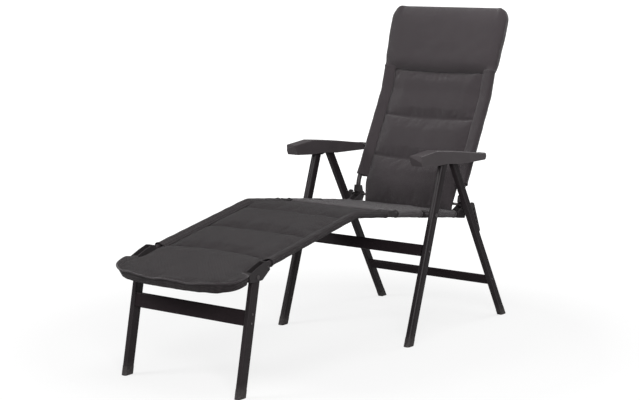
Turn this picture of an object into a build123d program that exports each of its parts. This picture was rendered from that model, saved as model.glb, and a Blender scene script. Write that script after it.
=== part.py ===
from build123d import *
import os
from math import asin, atan2, cos, degrees, hypot, radians, sin, tan

os.makedirs("parts", exist_ok=True)

# A folding camping chair with a padded back, two armrests and a leg rest that clips to the seat.
# Millimetres, +Z up. The sitter faces -Y, and the right-hand pieces are on +X.
# Angles are degrees. A lean is measured back from the vertical, a slope down from the horizontal.

# Stance, seen from the side. Heights are above the floor.
front_feet_y = 126.7
front_leg_lean = 18.5
leg_pivot_height = 650.0
rear_pivot_back = 59.7
rear_pivot_rise = 15.0
axle_behind_leg = 32.975
seat_pivot_height = 462.0
link_length = 278.5
seat_slope = 7.5
seat_front_reach = 208.4
seat_rear_reach = 262.0

# Stance, seen from the front: distance of each tube's centre from the middle
front_leg_x = 291.0
rear_leg_x = 287.0
frame_x = 243.0
rest_x = 245.0
rest_leg_x = 249.0

# Leg profiles: depth front to back, and width side to side
front_leg_depth = 38.0
front_leg_width = 25.0
front_leg_round = 10.0
rear_leg_depth = 30.0
rear_leg_width = 20.0
rear_leg_round = 3.0
rest_leg_depth = 38.0
rest_leg_width = 20.0
rest_leg_round = 5.0
leg_wall = 1.8
leg_top_past_pivot = 10.0
groove_width = 2.4
groove_depth = 0.7
groove_pitch = 8.0

# Round tubes of the seat, the back and the leg rest
tube_radius = 9.0
tube_wall = 1.5
corner_bend_radius = 60.0
hip_bend_radius = 95.0
back_bend_radius = 170.0
rest_bend_radius = 90.0

# Crossbars: height along the leg, thickness, and how far each sits ahead of the legs' centre lines
front_bar_height = 42.0
front_bar_thick = 18.0
front_bar_up = 334.0
front_bar_ahead = 8.0
rear_bar_height = 38.0
rear_bar_thick = 16.0
rear_bar_up = 157.0
rear_bar_ahead = 7.0
rest_bar_height = 50.0
rest_bar_thick = 18.0
rest_bar_up = 253.0
rest_bar_ahead = 6.0
bar_wall = 1.6
bar_round = 5.0

# Feet
foot_cap_height = 30.0
foot_cap_proud = 0.8
foot_cap_edge = 1.2

# Pins and clearances
pin_radius = 4.0
seat_pin_radius = 5.0
axle_radius = 5.0
pin_head_thick = 2.0
pin_head_proud = 3.0
pin_play = 0.05
face_gap = 0.5
cloth_gap = 0.3
overrun = 60.0

# Back frame: the place of its lower end, then each stretch's run and lean
back_end_ahead = 10.9
back_end_rise = 11.9
hip_run = 46.7
hip_lean = 9.3
lumbar_run = 388.3
shoulder_run = 137.0
shoulder_lean = 15.7
head_run = 183.7
head_lean = 18.7

# Leg rest frame: it rises from the clips to the bend, then falls to the foot end
rest_rise = 6.6
rest_fall = 11.3
rest_rise_run = 215.4
rest_fall_run = 519.0
rest_tube_start = 18.0
rest_foot_reach = 901.0
rest_pivot_run = 572.3
rest_pivot_drop = 16.2

# Fabric sleeves and panels
sleeve_radius = 13.0
rest_sleeve_radius = 12.5
panel_half = 231.5
panel_edge = 2.0
channel_steps = 6
panel_thick = 10.0


def step(start, lean, run):
    """The point a run away from start, along a direction that leans back from the vertical."""
    return (start[0] + run * sin(radians(lean)), start[1] + run * cos(radians(lean)))


def lean_of(low, high):
    """How far the line from low to high leans back from the vertical."""
    return degrees(atan2(high[0] - low[0], high[1] - low[1]))


def distance(a, b):
    return hypot(b[0] - a[0], b[1] - a[1])


def side_plane(x):
    """A plane facing +X at that distance from the middle: its axes are Y and Z."""
    return Plane.YZ.offset(x)


def across(point, lean, x=0):
    """A plane square to a tube that leans back: its axes are X, and the way behind or below."""
    return Plane(
        origin=(x, point[0], point[1]),
        x_dir=(1, 0, 0),
        z_dir=(0, sin(radians(lean)), cos(radians(lean))),
    )


def space(x, point):
    return (x, point[0], point[1])


def along(corners, run):
    """The point that lies a run up a line of straight stretches, and the lean of its stretch."""
    for low, high in zip(corners, corners[1:]):
        lean = lean_of(low, high)
        if run <= distance(low, high) or high == corners[-1]:
            return step(low, lean, run), lean
        run -= distance(low, high)


# The joint lines and corners that everything else is placed by, each as (y, z)
p_front_top = (front_feet_y + leg_pivot_height * tan(radians(front_leg_lean)), leg_pivot_height)
p_rear_top = (p_front_top[0] + rear_pivot_back, leg_pivot_height + rear_pivot_rise)
p_seat = (front_feet_y + seat_pivot_height * tan(radians(front_leg_lean)), seat_pivot_height)
p_axle = (p_seat[0] + link_length, seat_pivot_height)
p_arm = (p_front_top[0] + link_length, leg_pivot_height)
front_foot = (front_feet_y, 0)

# The rear leg passes the seat's axle at that distance, and its foot follows from its lean
axle_offset_angle = degrees(asin(axle_behind_leg / distance(p_rear_top, p_axle)))
rear_leg_lean = lean_of(p_axle, p_rear_top) + axle_offset_angle
rear_foot = (p_rear_top[0] - p_rear_top[1] * tan(radians(rear_leg_lean)), 0)

seat_lean = 90 + seat_slope
seat_front = step(p_seat, seat_lean, -seat_front_reach)
seat_rear = step(p_seat, seat_lean, seat_rear_reach)

back_end = (p_axle[0] - back_end_ahead, p_axle[1] + back_end_rise)
back_hip = step(back_end, hip_lean, hip_run)
lumbar_lean = lean_of(back_hip, p_arm)
back_lumbar = step(back_hip, lumbar_lean, lumbar_run)
back_shoulder = step(back_lumbar, shoulder_lean, shoulder_run)
back_top = step(back_shoulder, head_lean, head_run)
back_line = [back_end, back_hip, back_lumbar, back_shoulder, back_top]

rise_lean = rest_rise - 90
fall_lean = -90 - rest_fall
rest_bend = step(seat_front, rise_lean, rest_rise_run)
rest_end = step(rest_bend, fall_lean, rest_fall_run)
rest_line = [seat_front, rest_bend, rest_end]


def by_rest(run, below):
    """A side-view point by its run down the leg rest from the bend, and how far below that line."""
    return step(step(rest_bend, fall_lean, run), fall_lean - 90, below)


p_rest_leg = by_rest(rest_pivot_run, rest_pivot_drop)
rest_foot = (front_feet_y - rest_foot_reach, 0)
rest_leg_lean = lean_of(rest_foot, p_rest_leg)

sides = {"left": -1, "right": 1}


def write(piece, label):
    piece.part.label = label
    export_step(piece.part, f"parts/{label}.step")


def write_pair(piece, label):
    """Writes a right-hand piece and its mirror image as two nodes."""
    for side, sign in sides.items():
        with BuildPart() as one:
            if sign > 0:
                add(piece.part)
            else:
                add(mirror(piece.part, about=Plane.YZ))
        write(one, f"{label}_{side}")


def write_both(piece, label):
    """Writes a right-hand piece and its mirror image as one node of separate solids."""
    with BuildPart() as both:
        add(piece.part)
        add(mirror(piece.part, about=Plane.YZ))
    write(both, label)


def disc(point, radius, start, end, mode=Mode.ADD):
    """A round bar along X through a side-view point, from start to end."""
    with BuildSketch(side_plane(start)) as profile:
        with Locations(point):
            Circle(radius)
    extrude(profile.sketch, amount=end - start, mode=mode)


def plate(points, start, end, mode=Mode.ADD):
    """A flat plate of that side-view outline, from start to end along X."""
    with BuildSketch(side_plane(start)) as profile:
        with BuildLine():
            Polyline(*points, close=True)
        make_face()
    extrude(profile.sketch, amount=end - start, mode=mode)


def bar(point, lean, radius, length, x, mode=Mode.ADD):
    """A round bar that leans back, from a side-view point."""
    with BuildSketch(across(point, lean, x)) as profile:
        Circle(radius)
    extrude(profile.sketch, amount=length, mode=mode)


# The straight legs


def leg(foot, top, lean, x, depth, width, rounding, holes, grooved=False):
    """A hollow leg of rounded flat profile, from the top of its foot cap to past its top pivot."""
    base = across(foot, lean, x)
    length = distance(foot, top) + leg_top_past_pivot
    with BuildPart() as made:
        with BuildSketch(base.offset(foot_cap_height)):
            RectangleRounded(width, depth, rounding)
            RectangleRounded(
                width - 2 * leg_wall,
                depth - 2 * leg_wall,
                max(rounding - leg_wall, leg_wall / 2),
                mode=Mode.SUBTRACT,
            )
            if grooved:
                for place in (-groove_pitch / 2, groove_pitch / 2):
                    with Locations((width / 2, place)):
                        Rectangle(2 * groove_depth, groove_width, mode=Mode.SUBTRACT)
        extrude(amount=length - foot_cap_height)
        for hole, radius in holes:
            disc(hole, radius + pin_play, x - width, x + width, Mode.SUBTRACT)
    return made


def foot_cap(foot, lean, x, depth, width, rounding):
    """A solid cap that the leg stands in, cut flat where it rests on the floor."""
    base = across(foot, lean, x)
    below = depth / 2 * max(1, tan(radians(abs(lean))))
    with BuildPart() as made:
        with BuildSketch(base.offset(-below)):
            RectangleRounded(
                width + 2 * foot_cap_proud, depth + 2 * foot_cap_proud, rounding + foot_cap_edge
            )
        extrude(amount=below + foot_cap_height)
        split(bisect_by=Plane.XY, keep=Keep.TOP)
        chamfer(made.faces().sort_by(Axis.Z)[0].edges(), foot_cap_edge)
    return made


front_profile = (front_leg_depth, front_leg_width, front_leg_round)
rear_profile = (rear_leg_depth, rear_leg_width, rear_leg_round)
rest_profile = (rest_leg_depth, rest_leg_width, rest_leg_round)
front_holes = [(p_front_top, pin_radius), (p_seat, seat_pin_radius)]
rear_holes = [(p_rear_top, pin_radius)]
rest_holes = [(p_rest_leg, pin_radius)]

front_leg = leg(front_foot, p_front_top, front_leg_lean, front_leg_x, *front_profile, front_holes)
write_pair(front_leg, "front_leg")
rear_leg = leg(rear_foot, p_rear_top, rear_leg_lean, rear_leg_x, *rear_profile, rear_holes, grooved=True)
write_pair(rear_leg, "rear_leg")
rest_leg = leg(rest_foot, p_rest_leg, rest_leg_lean, rest_leg_x, *rest_profile, rest_holes)
write_pair(rest_leg, "rest_leg")

write_pair(foot_cap(front_foot, front_leg_lean, front_leg_x, *front_profile), "front_foot_cap")
write_pair(foot_cap(rear_foot, rear_leg_lean, rear_leg_x, *rear_profile), "rear_foot_cap")
write_pair(foot_cap(rest_foot, rest_leg_lean, rest_leg_x, *rest_profile), "rest_foot_cap")


# The flat crossbars, with the rivets that hold them


def crossbar(foot, lean, up, ahead, half_span, height, thick):
    """A hollow flat bar between two legs, square to them, its middle at that height."""
    on_leg = step(foot, lean, up / cos(radians(lean)))
    plane = Plane(
        origin=space(-half_span, step(on_leg, lean + 90, -ahead)),
        x_dir=(0, cos(radians(lean)), -sin(radians(lean))),
        z_dir=(1, 0, 0),
    )
    with BuildPart() as made:
        with BuildSketch(plane):
            RectangleRounded(thick, height, bar_round)
            RectangleRounded(
                thick - 2 * bar_wall, height - 2 * bar_wall, bar_round - bar_wall, mode=Mode.SUBTRACT
            )
        extrude(amount=2 * half_span)
    return made


front_leg_inner = front_leg_x - front_leg_width / 2
rear_leg_inner = rear_leg_x - rear_leg_width / 2
rest_leg_inner = rest_leg_x - rest_leg_width / 2

front_bar = crossbar(
    front_foot, front_leg_lean, front_bar_up, front_bar_ahead, front_leg_inner,
    front_bar_height, front_bar_thick,
)
write(front_bar, "front_crossbar")
rear_bar = crossbar(
    rear_foot, rear_leg_lean, rear_bar_up, rear_bar_ahead, rear_leg_inner,
    rear_bar_height, rear_bar_thick,
)
write(rear_bar, "rear_crossbar")
rest_bar = crossbar(
    rest_foot, rest_leg_lean, rest_bar_up, rest_bar_ahead, rest_leg_inner,
    rest_bar_height, rest_bar_thick,
)
write(rest_bar, "rest_crossbar")

rivet_radius = 4.0
rivet_thick = 1.6
rivet_spacing = 30.0


def rivets(foot, lean, up, face_x, offsets):
    """Domed rivet heads on the outer face of a leg, level with its crossbar."""
    with BuildPart() as made:
        for offset in offsets:
            middle = step(foot, lean, up / cos(radians(lean)) + offset)
            disc(middle, rivet_radius, face_x, face_x + rivet_thick)
        fillet(made.faces().group_by(Axis.X)[-1].edges(), rivet_thick / 2)
    return made


front_rivets = rivets(
    front_foot, front_leg_lean, front_bar_up, front_leg_x + front_leg_width / 2, [0]
)
write_both(front_rivets, "front_bar_rivets")
rear_rivets = rivets(
    rear_foot, rear_leg_lean, rear_bar_up, rear_leg_x + rear_leg_width / 2, [0]
)
write_both(rear_rivets, "rear_bar_rivets")
rest_rivets = rivets(
    rest_foot, rest_leg_lean, rest_bar_up, rest_leg_x + rest_leg_width / 2,
    [-rivet_spacing / 2, rivet_spacing / 2],
)
write_both(rest_rivets, "rest_bar_rivets")


# The notched guide plates behind the rear legs, beside the ends of the seat axle

guide_thick = 8.0
guide_inset = 2.5
guide_lobe_radius = 13.0
guide_length = 121.0
guide_foot_depth = 16.0
guide_end_slope = 6.0
window_start = 15.0
window_pitch = 19.0
window_length = 11.0
window_width = 9.0
window_round = 3.0
window_depth = 14.0
window_drift = 1.4
window_count = 5
guide_x = rear_leg_x - guide_inset
leg_back_face = rear_leg_depth / 2


def by_rear_leg(down, behind):
    """A side-view point by its run down the rear leg from the pivot, and how far behind the middle."""
    on_leg = step(p_rear_top, rear_leg_lean, -down)
    return step(on_leg, rear_leg_lean + 90, behind)


axle_from_top = (p_axle[0] - p_rear_top[0], p_rear_top[1] - p_axle[1])
lean_angle = radians(rear_leg_lean)
axle_down = axle_from_top[1] * cos(lean_angle) - axle_from_top[0] * sin(lean_angle)
axle_behind = axle_from_top[0] * cos(lean_angle) + axle_from_top[1] * sin(lean_angle)

with BuildPart() as guide:
    lobe_middle = by_rear_leg(axle_down, axle_behind)
    guide_start = guide_x - guide_thick / 2
    guide_end = guide_x + guide_thick / 2
    guide_foot = leg_back_face + guide_foot_depth
    outline = [
        by_rear_leg(axle_down - guide_lobe_radius, leg_back_face),
        by_rear_leg(axle_down - guide_lobe_radius, axle_behind),
        by_rear_leg(axle_down, axle_behind + guide_lobe_radius),
        by_rear_leg(axle_down + guide_length - guide_end_slope, guide_foot),
        by_rear_leg(axle_down + guide_length, leg_back_face),
    ]
    plate(outline, guide_start, guide_end)
    disc(lobe_middle, guide_lobe_radius, guide_start, guide_end)
    with BuildSketch(side_plane(guide_start)):
        for i in range(window_count):
            down = axle_down + window_start + i * window_pitch
            behind = leg_back_face + window_depth - i * window_drift
            with Locations(Location((*by_rear_leg(down, behind), 0), (0, 0, -rear_leg_lean))):
                RectangleRounded(window_width, window_length, window_round)
    extrude(amount=guide_thick, mode=Mode.SUBTRACT)
write_pair(guide, "notched_guide")


# The seat frame: two side tubes on a front tube, with an axle at the back

seat_run = seat_front_reach + seat_rear_reach

with BuildPart() as seat_side_tube:
    bar(seat_front, seat_lean, tube_radius, seat_run, frame_x)
    bar(seat_front, seat_lean, tube_radius - tube_wall, seat_run, frame_x, Mode.SUBTRACT)
    disc(seat_front, tube_radius, 0, 2 * frame_x, Mode.SUBTRACT)
    disc(p_seat, seat_pin_radius + pin_play, 0, 2 * frame_x, Mode.SUBTRACT)
write_pair(seat_side_tube, "seat_side_tube")

with BuildPart() as seat_front_tube:
    disc(seat_front, tube_radius, -frame_x, frame_x)
    disc(seat_front, tube_radius - tube_wall, -frame_x, frame_x, Mode.SUBTRACT)
write(seat_front_tube, "seat_front_tube")

corner_wall = 3.0
corner_reach = 30.0
corner_inner = 14.0
corner_radius = tube_radius + corner_wall
corner_cheek = 0.6

with BuildPart() as seat_corner:
    disc(seat_front, corner_radius, frame_x - corner_inner, frame_x + corner_radius + corner_cheek)
    bar(seat_front, seat_lean, corner_radius, corner_reach, frame_x)
    disc(seat_front, tube_radius + pin_play, 0, frame_x + pin_play, Mode.SUBTRACT)
    bar(seat_front, seat_lean, tube_radius + pin_play, 2 * corner_reach, frame_x, Mode.SUBTRACT)
write_pair(seat_corner, "seat_corner")

axle_half = rear_leg_inner - 2 * face_gap
with BuildPart() as axle:
    disc(p_axle, axle_radius, -axle_half, axle_half)
write(axle, "seat_axle")

# The clevis on each rear end of the seat frame, which carries the axle
knuckle_half = 11.0
ear_thick = 6.0
ear_radius = 12.0
clevis_length = 36.0
clevis_tail = 8.0
clevis_half = 13.0
slot_wall = 1.5
ear_inner = knuckle_half + face_gap
ear_outer = ear_inner + ear_thick
slot_floor = tube_radius + slot_wall


def by_seat(run, above):
    """A side-view point by its run behind the seat tube's end, and how far above the tube's line."""
    return step(step(seat_rear, seat_lean, run), seat_lean - 90, above)


with BuildPart() as clevis:
    outline = [
        by_seat(-clevis_length, -clevis_half),
        by_seat(-clevis_length, clevis_half),
        step(p_axle, seat_lean, -ear_radius),
        step(p_axle, seat_lean, ear_radius),
        by_seat(clevis_tail, -clevis_half),
    ]
    plate(outline, frame_x - ear_outer, frame_x + ear_outer)
    disc(p_axle, ear_radius, frame_x - ear_outer, frame_x + ear_outer)
    slot = [
        by_seat(-overrun, slot_floor),
        by_seat(overrun, slot_floor),
        by_seat(overrun, slot_floor + overrun),
        by_seat(-overrun, slot_floor + overrun),
    ]
    plate(slot, frame_x - ear_inner, frame_x + ear_inner, Mode.SUBTRACT)
    bar(by_seat(-overrun, 0), seat_lean, tube_radius + pin_play, overrun + pin_play, frame_x, Mode.SUBTRACT)
    disc(p_axle, axle_radius + pin_play, 0, 2 * frame_x, Mode.SUBTRACT)
write_pair(clevis, "seat_clevis")

# The saddle that pivots the seat frame on the front leg
saddle_length = 34.0
saddle_height = 27.0
saddle_width = 26.0
saddle_round = 5.0
boss_radius = 10.5

with BuildPart() as saddle:
    with BuildSketch(across(step(p_seat, seat_lean, -saddle_length / 2), seat_lean, frame_x)):
        RectangleRounded(saddle_width, saddle_height, saddle_round)
    extrude(amount=saddle_length)
    disc(p_seat, boss_radius, frame_x, front_leg_inner - face_gap)
    bore_start = step(p_seat, seat_lean, -overrun)
    bar(bore_start, seat_lean, tube_radius + pin_play, 2 * overrun, frame_x, Mode.SUBTRACT)
    disc(p_seat, seat_pin_radius + pin_play, 0, 2 * frame_x, Mode.SUBTRACT)
write_pair(saddle, "seat_saddle")

with BuildPart() as seat_pin:
    pin_start = frame_x - saddle_width / 2
    pin_end = front_leg_x + front_leg_width / 2 + face_gap
    disc(p_seat, seat_pin_radius + pin_head_proud, pin_start - pin_head_thick, pin_start)
    disc(p_seat, seat_pin_radius, pin_start, pin_end)
    disc(p_seat, seat_pin_radius + pin_head_proud, pin_end, pin_end + pin_head_thick)
write_both(seat_pin, "seat_pivot_pins")


# The hinge blocks that carry the tops of the legs inside the armrests

block_thick = 10.0
block_radius = 12.0
block_end = rear_leg_inner - face_gap

with BuildPart() as hinge_block:
    for pivot in (p_front_top, p_rear_top):
        disc(pivot, block_radius, block_end - block_thick, block_end)
    block_lean = lean_of(p_front_top, p_rear_top)
    outline = [
        step(p_front_top, block_lean - 90, block_radius),
        step(p_rear_top, block_lean - 90, block_radius),
        step(p_rear_top, block_lean + 90, block_radius),
        step(p_front_top, block_lean + 90, block_radius),
    ]
    plate(outline, block_end - block_thick, block_end)
    disc(p_front_top, pin_radius, block_end, front_leg_x + front_leg_width / 2 - face_gap)
    disc(p_rear_top, pin_radius, block_end, rear_leg_x + rear_leg_width / 2)
write_pair(hinge_block, "leg_hinge_block")


# The back frame: one bent tube, with a knuckle at each lower end and a pin to each armrest

bends = [hip_bend_radius, back_bend_radius, back_bend_radius]

with BuildPart() as back_frame:
    with BuildLine() as back_route:
        right = [space(frame_x, point) for point in back_line]
        left = [space(-frame_x, point) for point in reversed(back_line)]
        FilletPolyline(*right, *left, radius=bends + 2 * [corner_bend_radius] + bends[::-1])
    with BuildSketch(across(back_end, hip_lean, frame_x)):
        Circle(tube_radius)
        Circle(tube_radius - tube_wall, mode=Mode.SUBTRACT)
    sweep(path=back_route.line)
    disc(p_arm, pin_radius + pin_play, -2 * frame_x, 2 * frame_x, Mode.SUBTRACT)
write(back_frame, "back_frame")

knuckle_radius = 14.0
knuckle_socket = 24.0
knuckle_wall = 2.6
bush_wall = 3.0
bush_radius = axle_radius + bush_wall

with BuildPart() as knuckle:
    outer = tube_radius + knuckle_wall
    socket_top = step(back_end, hip_lean, knuckle_socket)
    outline = [
        step(socket_top, hip_lean + 90, outer),
        step(socket_top, hip_lean - 90, outer),
        step(back_end, hip_lean - 90, outer),
        step(p_axle, hip_lean + 180, knuckle_radius),
        step(p_axle, hip_lean + 90, knuckle_radius),
    ]
    plate(outline, frame_x - knuckle_half, frame_x + knuckle_half)
    disc(p_axle, knuckle_radius, frame_x - knuckle_half, frame_x + knuckle_half)
    bar(back_end, hip_lean, tube_radius + pin_play, overrun, frame_x, Mode.SUBTRACT)
    disc(p_axle, bush_radius + pin_play, 0, 2 * frame_x, Mode.SUBTRACT)
write_pair(knuckle, "back_knuckle")

with BuildPart() as hinge_bush:
    disc(p_axle, bush_radius, frame_x - knuckle_half, frame_x + knuckle_half)
    disc(p_axle, axle_radius + pin_play, 0, 2 * frame_x, Mode.SUBTRACT)
write_both(hinge_bush, "hinge_bushes")


# The armrests, hollow under the front half, with a bush at the rear

arm_inner_x = 260.5
arm_outer_x = 307.5
arm_rear_inner_x = 264.0
arm_rear_outer_x = 292.0
arm_rear_reach = 24.0
arm_front_skew = 11.0
arm_length = 483.0
arm_height = 69.0
arm_drop = 18.0
arm_wall = 3.0
arm_channel_ahead = 97.5
arm_channel_length = 280.0
arm_taper_start = 300.0
arm_edge_round = 4.0
arm_bush_wall = 2.0
arm_bore_floor = 4.0

# Points of the side outline as shares of the armrest's length and height
arm_front_top_share = (0.0, 0.84)
arm_crest_share = (0.235, 1.0)
arm_top_share = (0.545, 0.77)
arm_slope_share = (0.85, 0.48)
arm_rear_top_share = (0.965, 0.385)
arm_rear_share = (1.0, 0.2)
arm_rear_low_share = (0.965, 0.0)
arm_mid_low_share = (0.56, 0.07)
arm_block_low_share = (0.395, 0.2)
arm_grip_low_share = (0.235, 0.19)
arm_front_low_share = (0.038, 0.29)
arm_taper_share = 0.7
arm_upward_share = 0.9

arm_front_y = p_arm[0] + arm_rear_reach - arm_length
arm_low = leg_pivot_height - arm_drop


def arm_point(share, lower):
    """A point of the armrest's side outline, lowered by a wall."""
    return (arm_front_y + share[0] * arm_length, arm_low + share[1] * arm_height - lower)


def arm_top_edge(lower):
    """The top of the armrest's side outline, from its front to its rear."""
    crest = arm_point(arm_crest_share, lower)
    Line(arm_point(arm_front_top_share, lower), crest)
    ThreePointArc(crest, arm_point(arm_top_share, lower), arm_point(arm_slope_share, lower))
    Line(arm_point(arm_slope_share, lower), arm_point(arm_rear_top_share, lower))


def arm_plan(wall):
    """The armrest's plan outline on the +X side, moved in by a wall at its sides."""
    taper_y = arm_front_y + arm_taper_share * arm_length
    rear_y = arm_front_y + arm_length
    with BuildSketch(Plane.XY.offset(arm_low - overrun)) as profile:
        with BuildLine():
            Polyline(
                (arm_inner_x + wall, arm_front_y),
                (arm_outer_x - wall, arm_front_y + arm_front_skew),
                (arm_outer_x - wall, taper_y),
                (arm_rear_outer_x - wall, rear_y),
                (arm_rear_inner_x + wall, rear_y),
                close=True,
            )
        make_face()
    extrude(profile.sketch, amount=arm_height + 2 * overrun, mode=Mode.INTERSECT)


with BuildPart() as channel:
    with BuildSketch(side_plane(arm_inner_x)):
        with BuildLine():
            arm_top_edge(arm_wall)
            Line(arm_point(arm_rear_top_share, arm_wall), arm_point(arm_rear_low_share, overrun))
            Line(arm_point(arm_rear_low_share, overrun), arm_point(arm_front_low_share, overrun))
            Line(arm_point(arm_front_low_share, overrun), arm_point(arm_front_top_share, arm_wall))
        make_face()
    extrude(amount=arm_outer_x - arm_inner_x)
    arm_plan(arm_wall)
    channel_middle = p_front_top[0] - arm_channel_ahead + arm_channel_length / 2
    with BuildSketch(Plane.XY.offset(arm_low - 2 * overrun)):
        with Locations((arm_inner_x, channel_middle)):
            Rectangle(2 * arm_outer_x, arm_channel_length)
    extrude(amount=4 * overrun, mode=Mode.INTERSECT)

def runs_lengthwise(edge):
    """True for an edge that runs from the front of the armrest to its back."""
    return abs((edge @ 1 - edge @ 0).normalized().Y) > arm_upward_share


with BuildPart() as armrest:
    with BuildSketch(side_plane(arm_inner_x)):
        with BuildLine():
            arm_top_edge(0)
            ThreePointArc(
                arm_point(arm_rear_top_share, 0),
                arm_point(arm_rear_share, 0),
                arm_point(arm_rear_low_share, 0),
            )
            Polyline(
                arm_point(arm_rear_low_share, 0),
                arm_point(arm_mid_low_share, 0),
                arm_point(arm_block_low_share, 0),
                arm_point(arm_grip_low_share, 0),
                arm_point(arm_front_low_share, 0),
                arm_point(arm_front_top_share, 0),
            )
        make_face()
    extrude(amount=arm_outer_x - arm_inner_x)
    arm_plan(0)
    top_faces = armrest.faces().filter_by(lambda face: face.normal_at().Z > arm_upward_share)
    long_edges = top_faces.edges().filter_by(runs_lengthwise)
    fillet(long_edges, arm_edge_round)
    add(channel.part, mode=Mode.SUBTRACT)
    arm_bush_radius = pin_radius + arm_bush_wall
    disc(p_arm, arm_bush_radius + pin_play, 0, arm_rear_outer_x - arm_bore_floor, Mode.SUBTRACT)
write_pair(armrest, "armrest")

with BuildPart() as arm_bush:
    bush_end = arm_rear_outer_x - arm_bore_floor - face_gap
    disc(p_arm, arm_bush_radius, arm_rear_inner_x, bush_end)
    disc(p_arm, pin_radius + pin_play, 0, 2 * frame_x, Mode.SUBTRACT)
write_both(arm_bush, "arm_bushes")

with BuildPart() as arm_pin:
    collar_start = frame_x + tube_radius
    disc(p_arm, pin_radius, frame_x - tube_radius, bush_end)
    disc(p_arm, pin_radius + pin_head_proud, collar_start, arm_rear_inner_x - face_gap)
    disc(p_arm, pin_radius + pin_head_proud, frame_x - tube_radius - pin_head_thick, frame_x - tube_radius)
write_both(arm_pin, "arm_pins")


# The leg rest frame: two bent tubes, clips on the seat's front tube, and a bow at the foot end


def bent_tube(corners, radius, bore, bend, x):
    """A tube or a sleeve that bends along straight stretches in the side view."""
    with BuildPart() as made:
        with BuildLine() as route:
            FilletPolyline(*[space(x, point) for point in corners], radius=bend)
        with BuildSketch(across(corners[0], lean_of(corners[0], corners[1]), x)):
            Circle(radius)
            Circle(bore, mode=Mode.SUBTRACT)
        sweep(path=route.line)
    return made


rest_tube_line = [along(rest_line, rest_tube_start)[0], rest_bend, rest_end]
rest_tube = bent_tube(rest_tube_line, tube_radius, tube_radius - tube_wall, rest_bend_radius, rest_x)
write_pair(rest_tube, "rest_tube")

clip_x = 203.0
clip_width = 24.0
clip_wall = 3.4
clip_mouth = 12.0
clip_reach = 33.0
clip_half = 10.5
clip_side_start = 15.0


def by_clip(run, above):
    """A side-view point by its run ahead of the front tube's axis, and how far above that line."""
    return step(step(seat_front, rise_lean, run), rise_lean + 90, above)


with BuildPart() as clip:
    clip_end = clip_x + clip_width
    socket_end = rest_x + tube_radius + clip_wall
    disc(seat_front, tube_radius + clip_wall, clip_x, clip_end)
    for start, end, near in ((clip_x, clip_end, 0), (clip_end, socket_end, clip_side_start)):
        outline = [
            by_clip(near, -clip_half),
            by_clip(near, clip_half),
            by_clip(clip_reach, clip_half),
            by_clip(clip_reach, -clip_half),
        ]
        plate(outline, start, end)
    disc(seat_front, tube_radius + pin_play, 0, 2 * frame_x, Mode.SUBTRACT)
    mouth = [
        by_clip(0, -clip_mouth / 2),
        by_clip(0, clip_mouth / 2),
        by_clip(-overrun, clip_mouth / 2),
        by_clip(-overrun, -clip_mouth / 2),
    ]
    plate(mouth, 0, 2 * frame_x, Mode.SUBTRACT)
    bar(rest_tube_line[0], rise_lean, tube_radius + pin_play, overrun, rest_x, Mode.SUBTRACT)
write_pair(clip, "rest_clip")

cheek_inner_x = 233.0
cheek_outer_x = 262.5
bracket_start = 508.0
bracket_length = 104.3
bracket_height = 52.0
bracket_body = 15.0
body_half = 13.5
bow_gap = 25.0
bow_radius = 8.0
bow_wall = 1.5
bow_drop = 9.0
bow_side_end = 640.0
bow_front_run = 704.0
bow_front_half = 150.0
bow_bend_radius = 55.0
bow_x = rest_leg_x
bow_start = rest_pivot_run + bow_gap

# Points of the bracket's side outline as shares of its length and height
bracket_shares = [
    (0.0, -0.25), (0.16, -0.37), (0.52, -0.28), (1.0, -0.08),
    (1.0, 0.41), (0.8, 0.52), (0.42, 0.65), (0.0, 0.25),
]

with BuildPart() as bracket:
    outline = [
        by_rest(bracket_start + run * bracket_length, below * bracket_height)
        for run, below in bracket_shares
    ]
    plate(outline, cheek_inner_x, cheek_outer_x)
    leg_slot = [
        by_rest(bracket_start + bracket_body, -overrun),
        by_rest(bow_start, -overrun),
        by_rest(bow_start, overrun),
        by_rest(bracket_start - overrun, overrun),
        by_rest(bracket_start - overrun, body_half),
        by_rest(bracket_start + bracket_body, body_half),
    ]
    slot_half = rest_leg_width / 2 + face_gap
    plate(leg_slot, rest_leg_x - slot_half, rest_leg_x + slot_half, Mode.SUBTRACT)
    bar(by_rest(0, 0), fall_lean, tube_radius + pin_play, rest_fall_run + pin_play, rest_x, Mode.SUBTRACT)
    bar(by_rest(bow_start, bow_drop), fall_lean, bow_radius + pin_play, overrun, bow_x, Mode.SUBTRACT)
    disc(p_rest_leg, pin_radius + pin_play, 0, 2 * frame_x, Mode.SUBTRACT)
write_pair(bracket, "rest_bracket")

with BuildPart() as rest_pin:
    disc(p_rest_leg, pin_radius, cheek_inner_x, cheek_outer_x)
    disc(p_rest_leg, pin_radius + pin_head_proud, cheek_inner_x - pin_head_thick, cheek_inner_x)
    disc(p_rest_leg, pin_radius + pin_head_proud, cheek_outer_x, cheek_outer_x + pin_head_thick)
write_both(rest_pin, "rest_pivot_pins")

with BuildPart() as bracket_rivet:
    body_middle = by_rest(bracket_start + bracket_body / 2, 0)
    disc(body_middle, rivet_radius, cheek_outer_x, cheek_outer_x + rivet_thick)
    fillet(bracket_rivet.faces().sort_by(Axis.X)[-1].edges(), rivet_thick / 2)
write_both(bracket_rivet, "rest_bracket_rivets")

with BuildPart() as bow:
    with BuildLine() as bow_route:
        bow_places = [
            (bow_x, bow_start), (bow_x, bow_side_end), (bow_front_half, bow_front_run),
            (-bow_front_half, bow_front_run), (-bow_x, bow_side_end), (-bow_x, bow_start),
        ]
        FilletPolyline(*[space(x, by_rest(run, bow_drop)) for x, run in bow_places], radius=bow_bend_radius)
    with BuildSketch(across(by_rest(bow_start, bow_drop), fall_lean, bow_x)):
        Circle(bow_radius)
        Circle(bow_radius - bow_wall, mode=Mode.SUBTRACT)
    sweep(path=bow_route.line)
write(bow, "rest_bow_tube")


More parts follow.
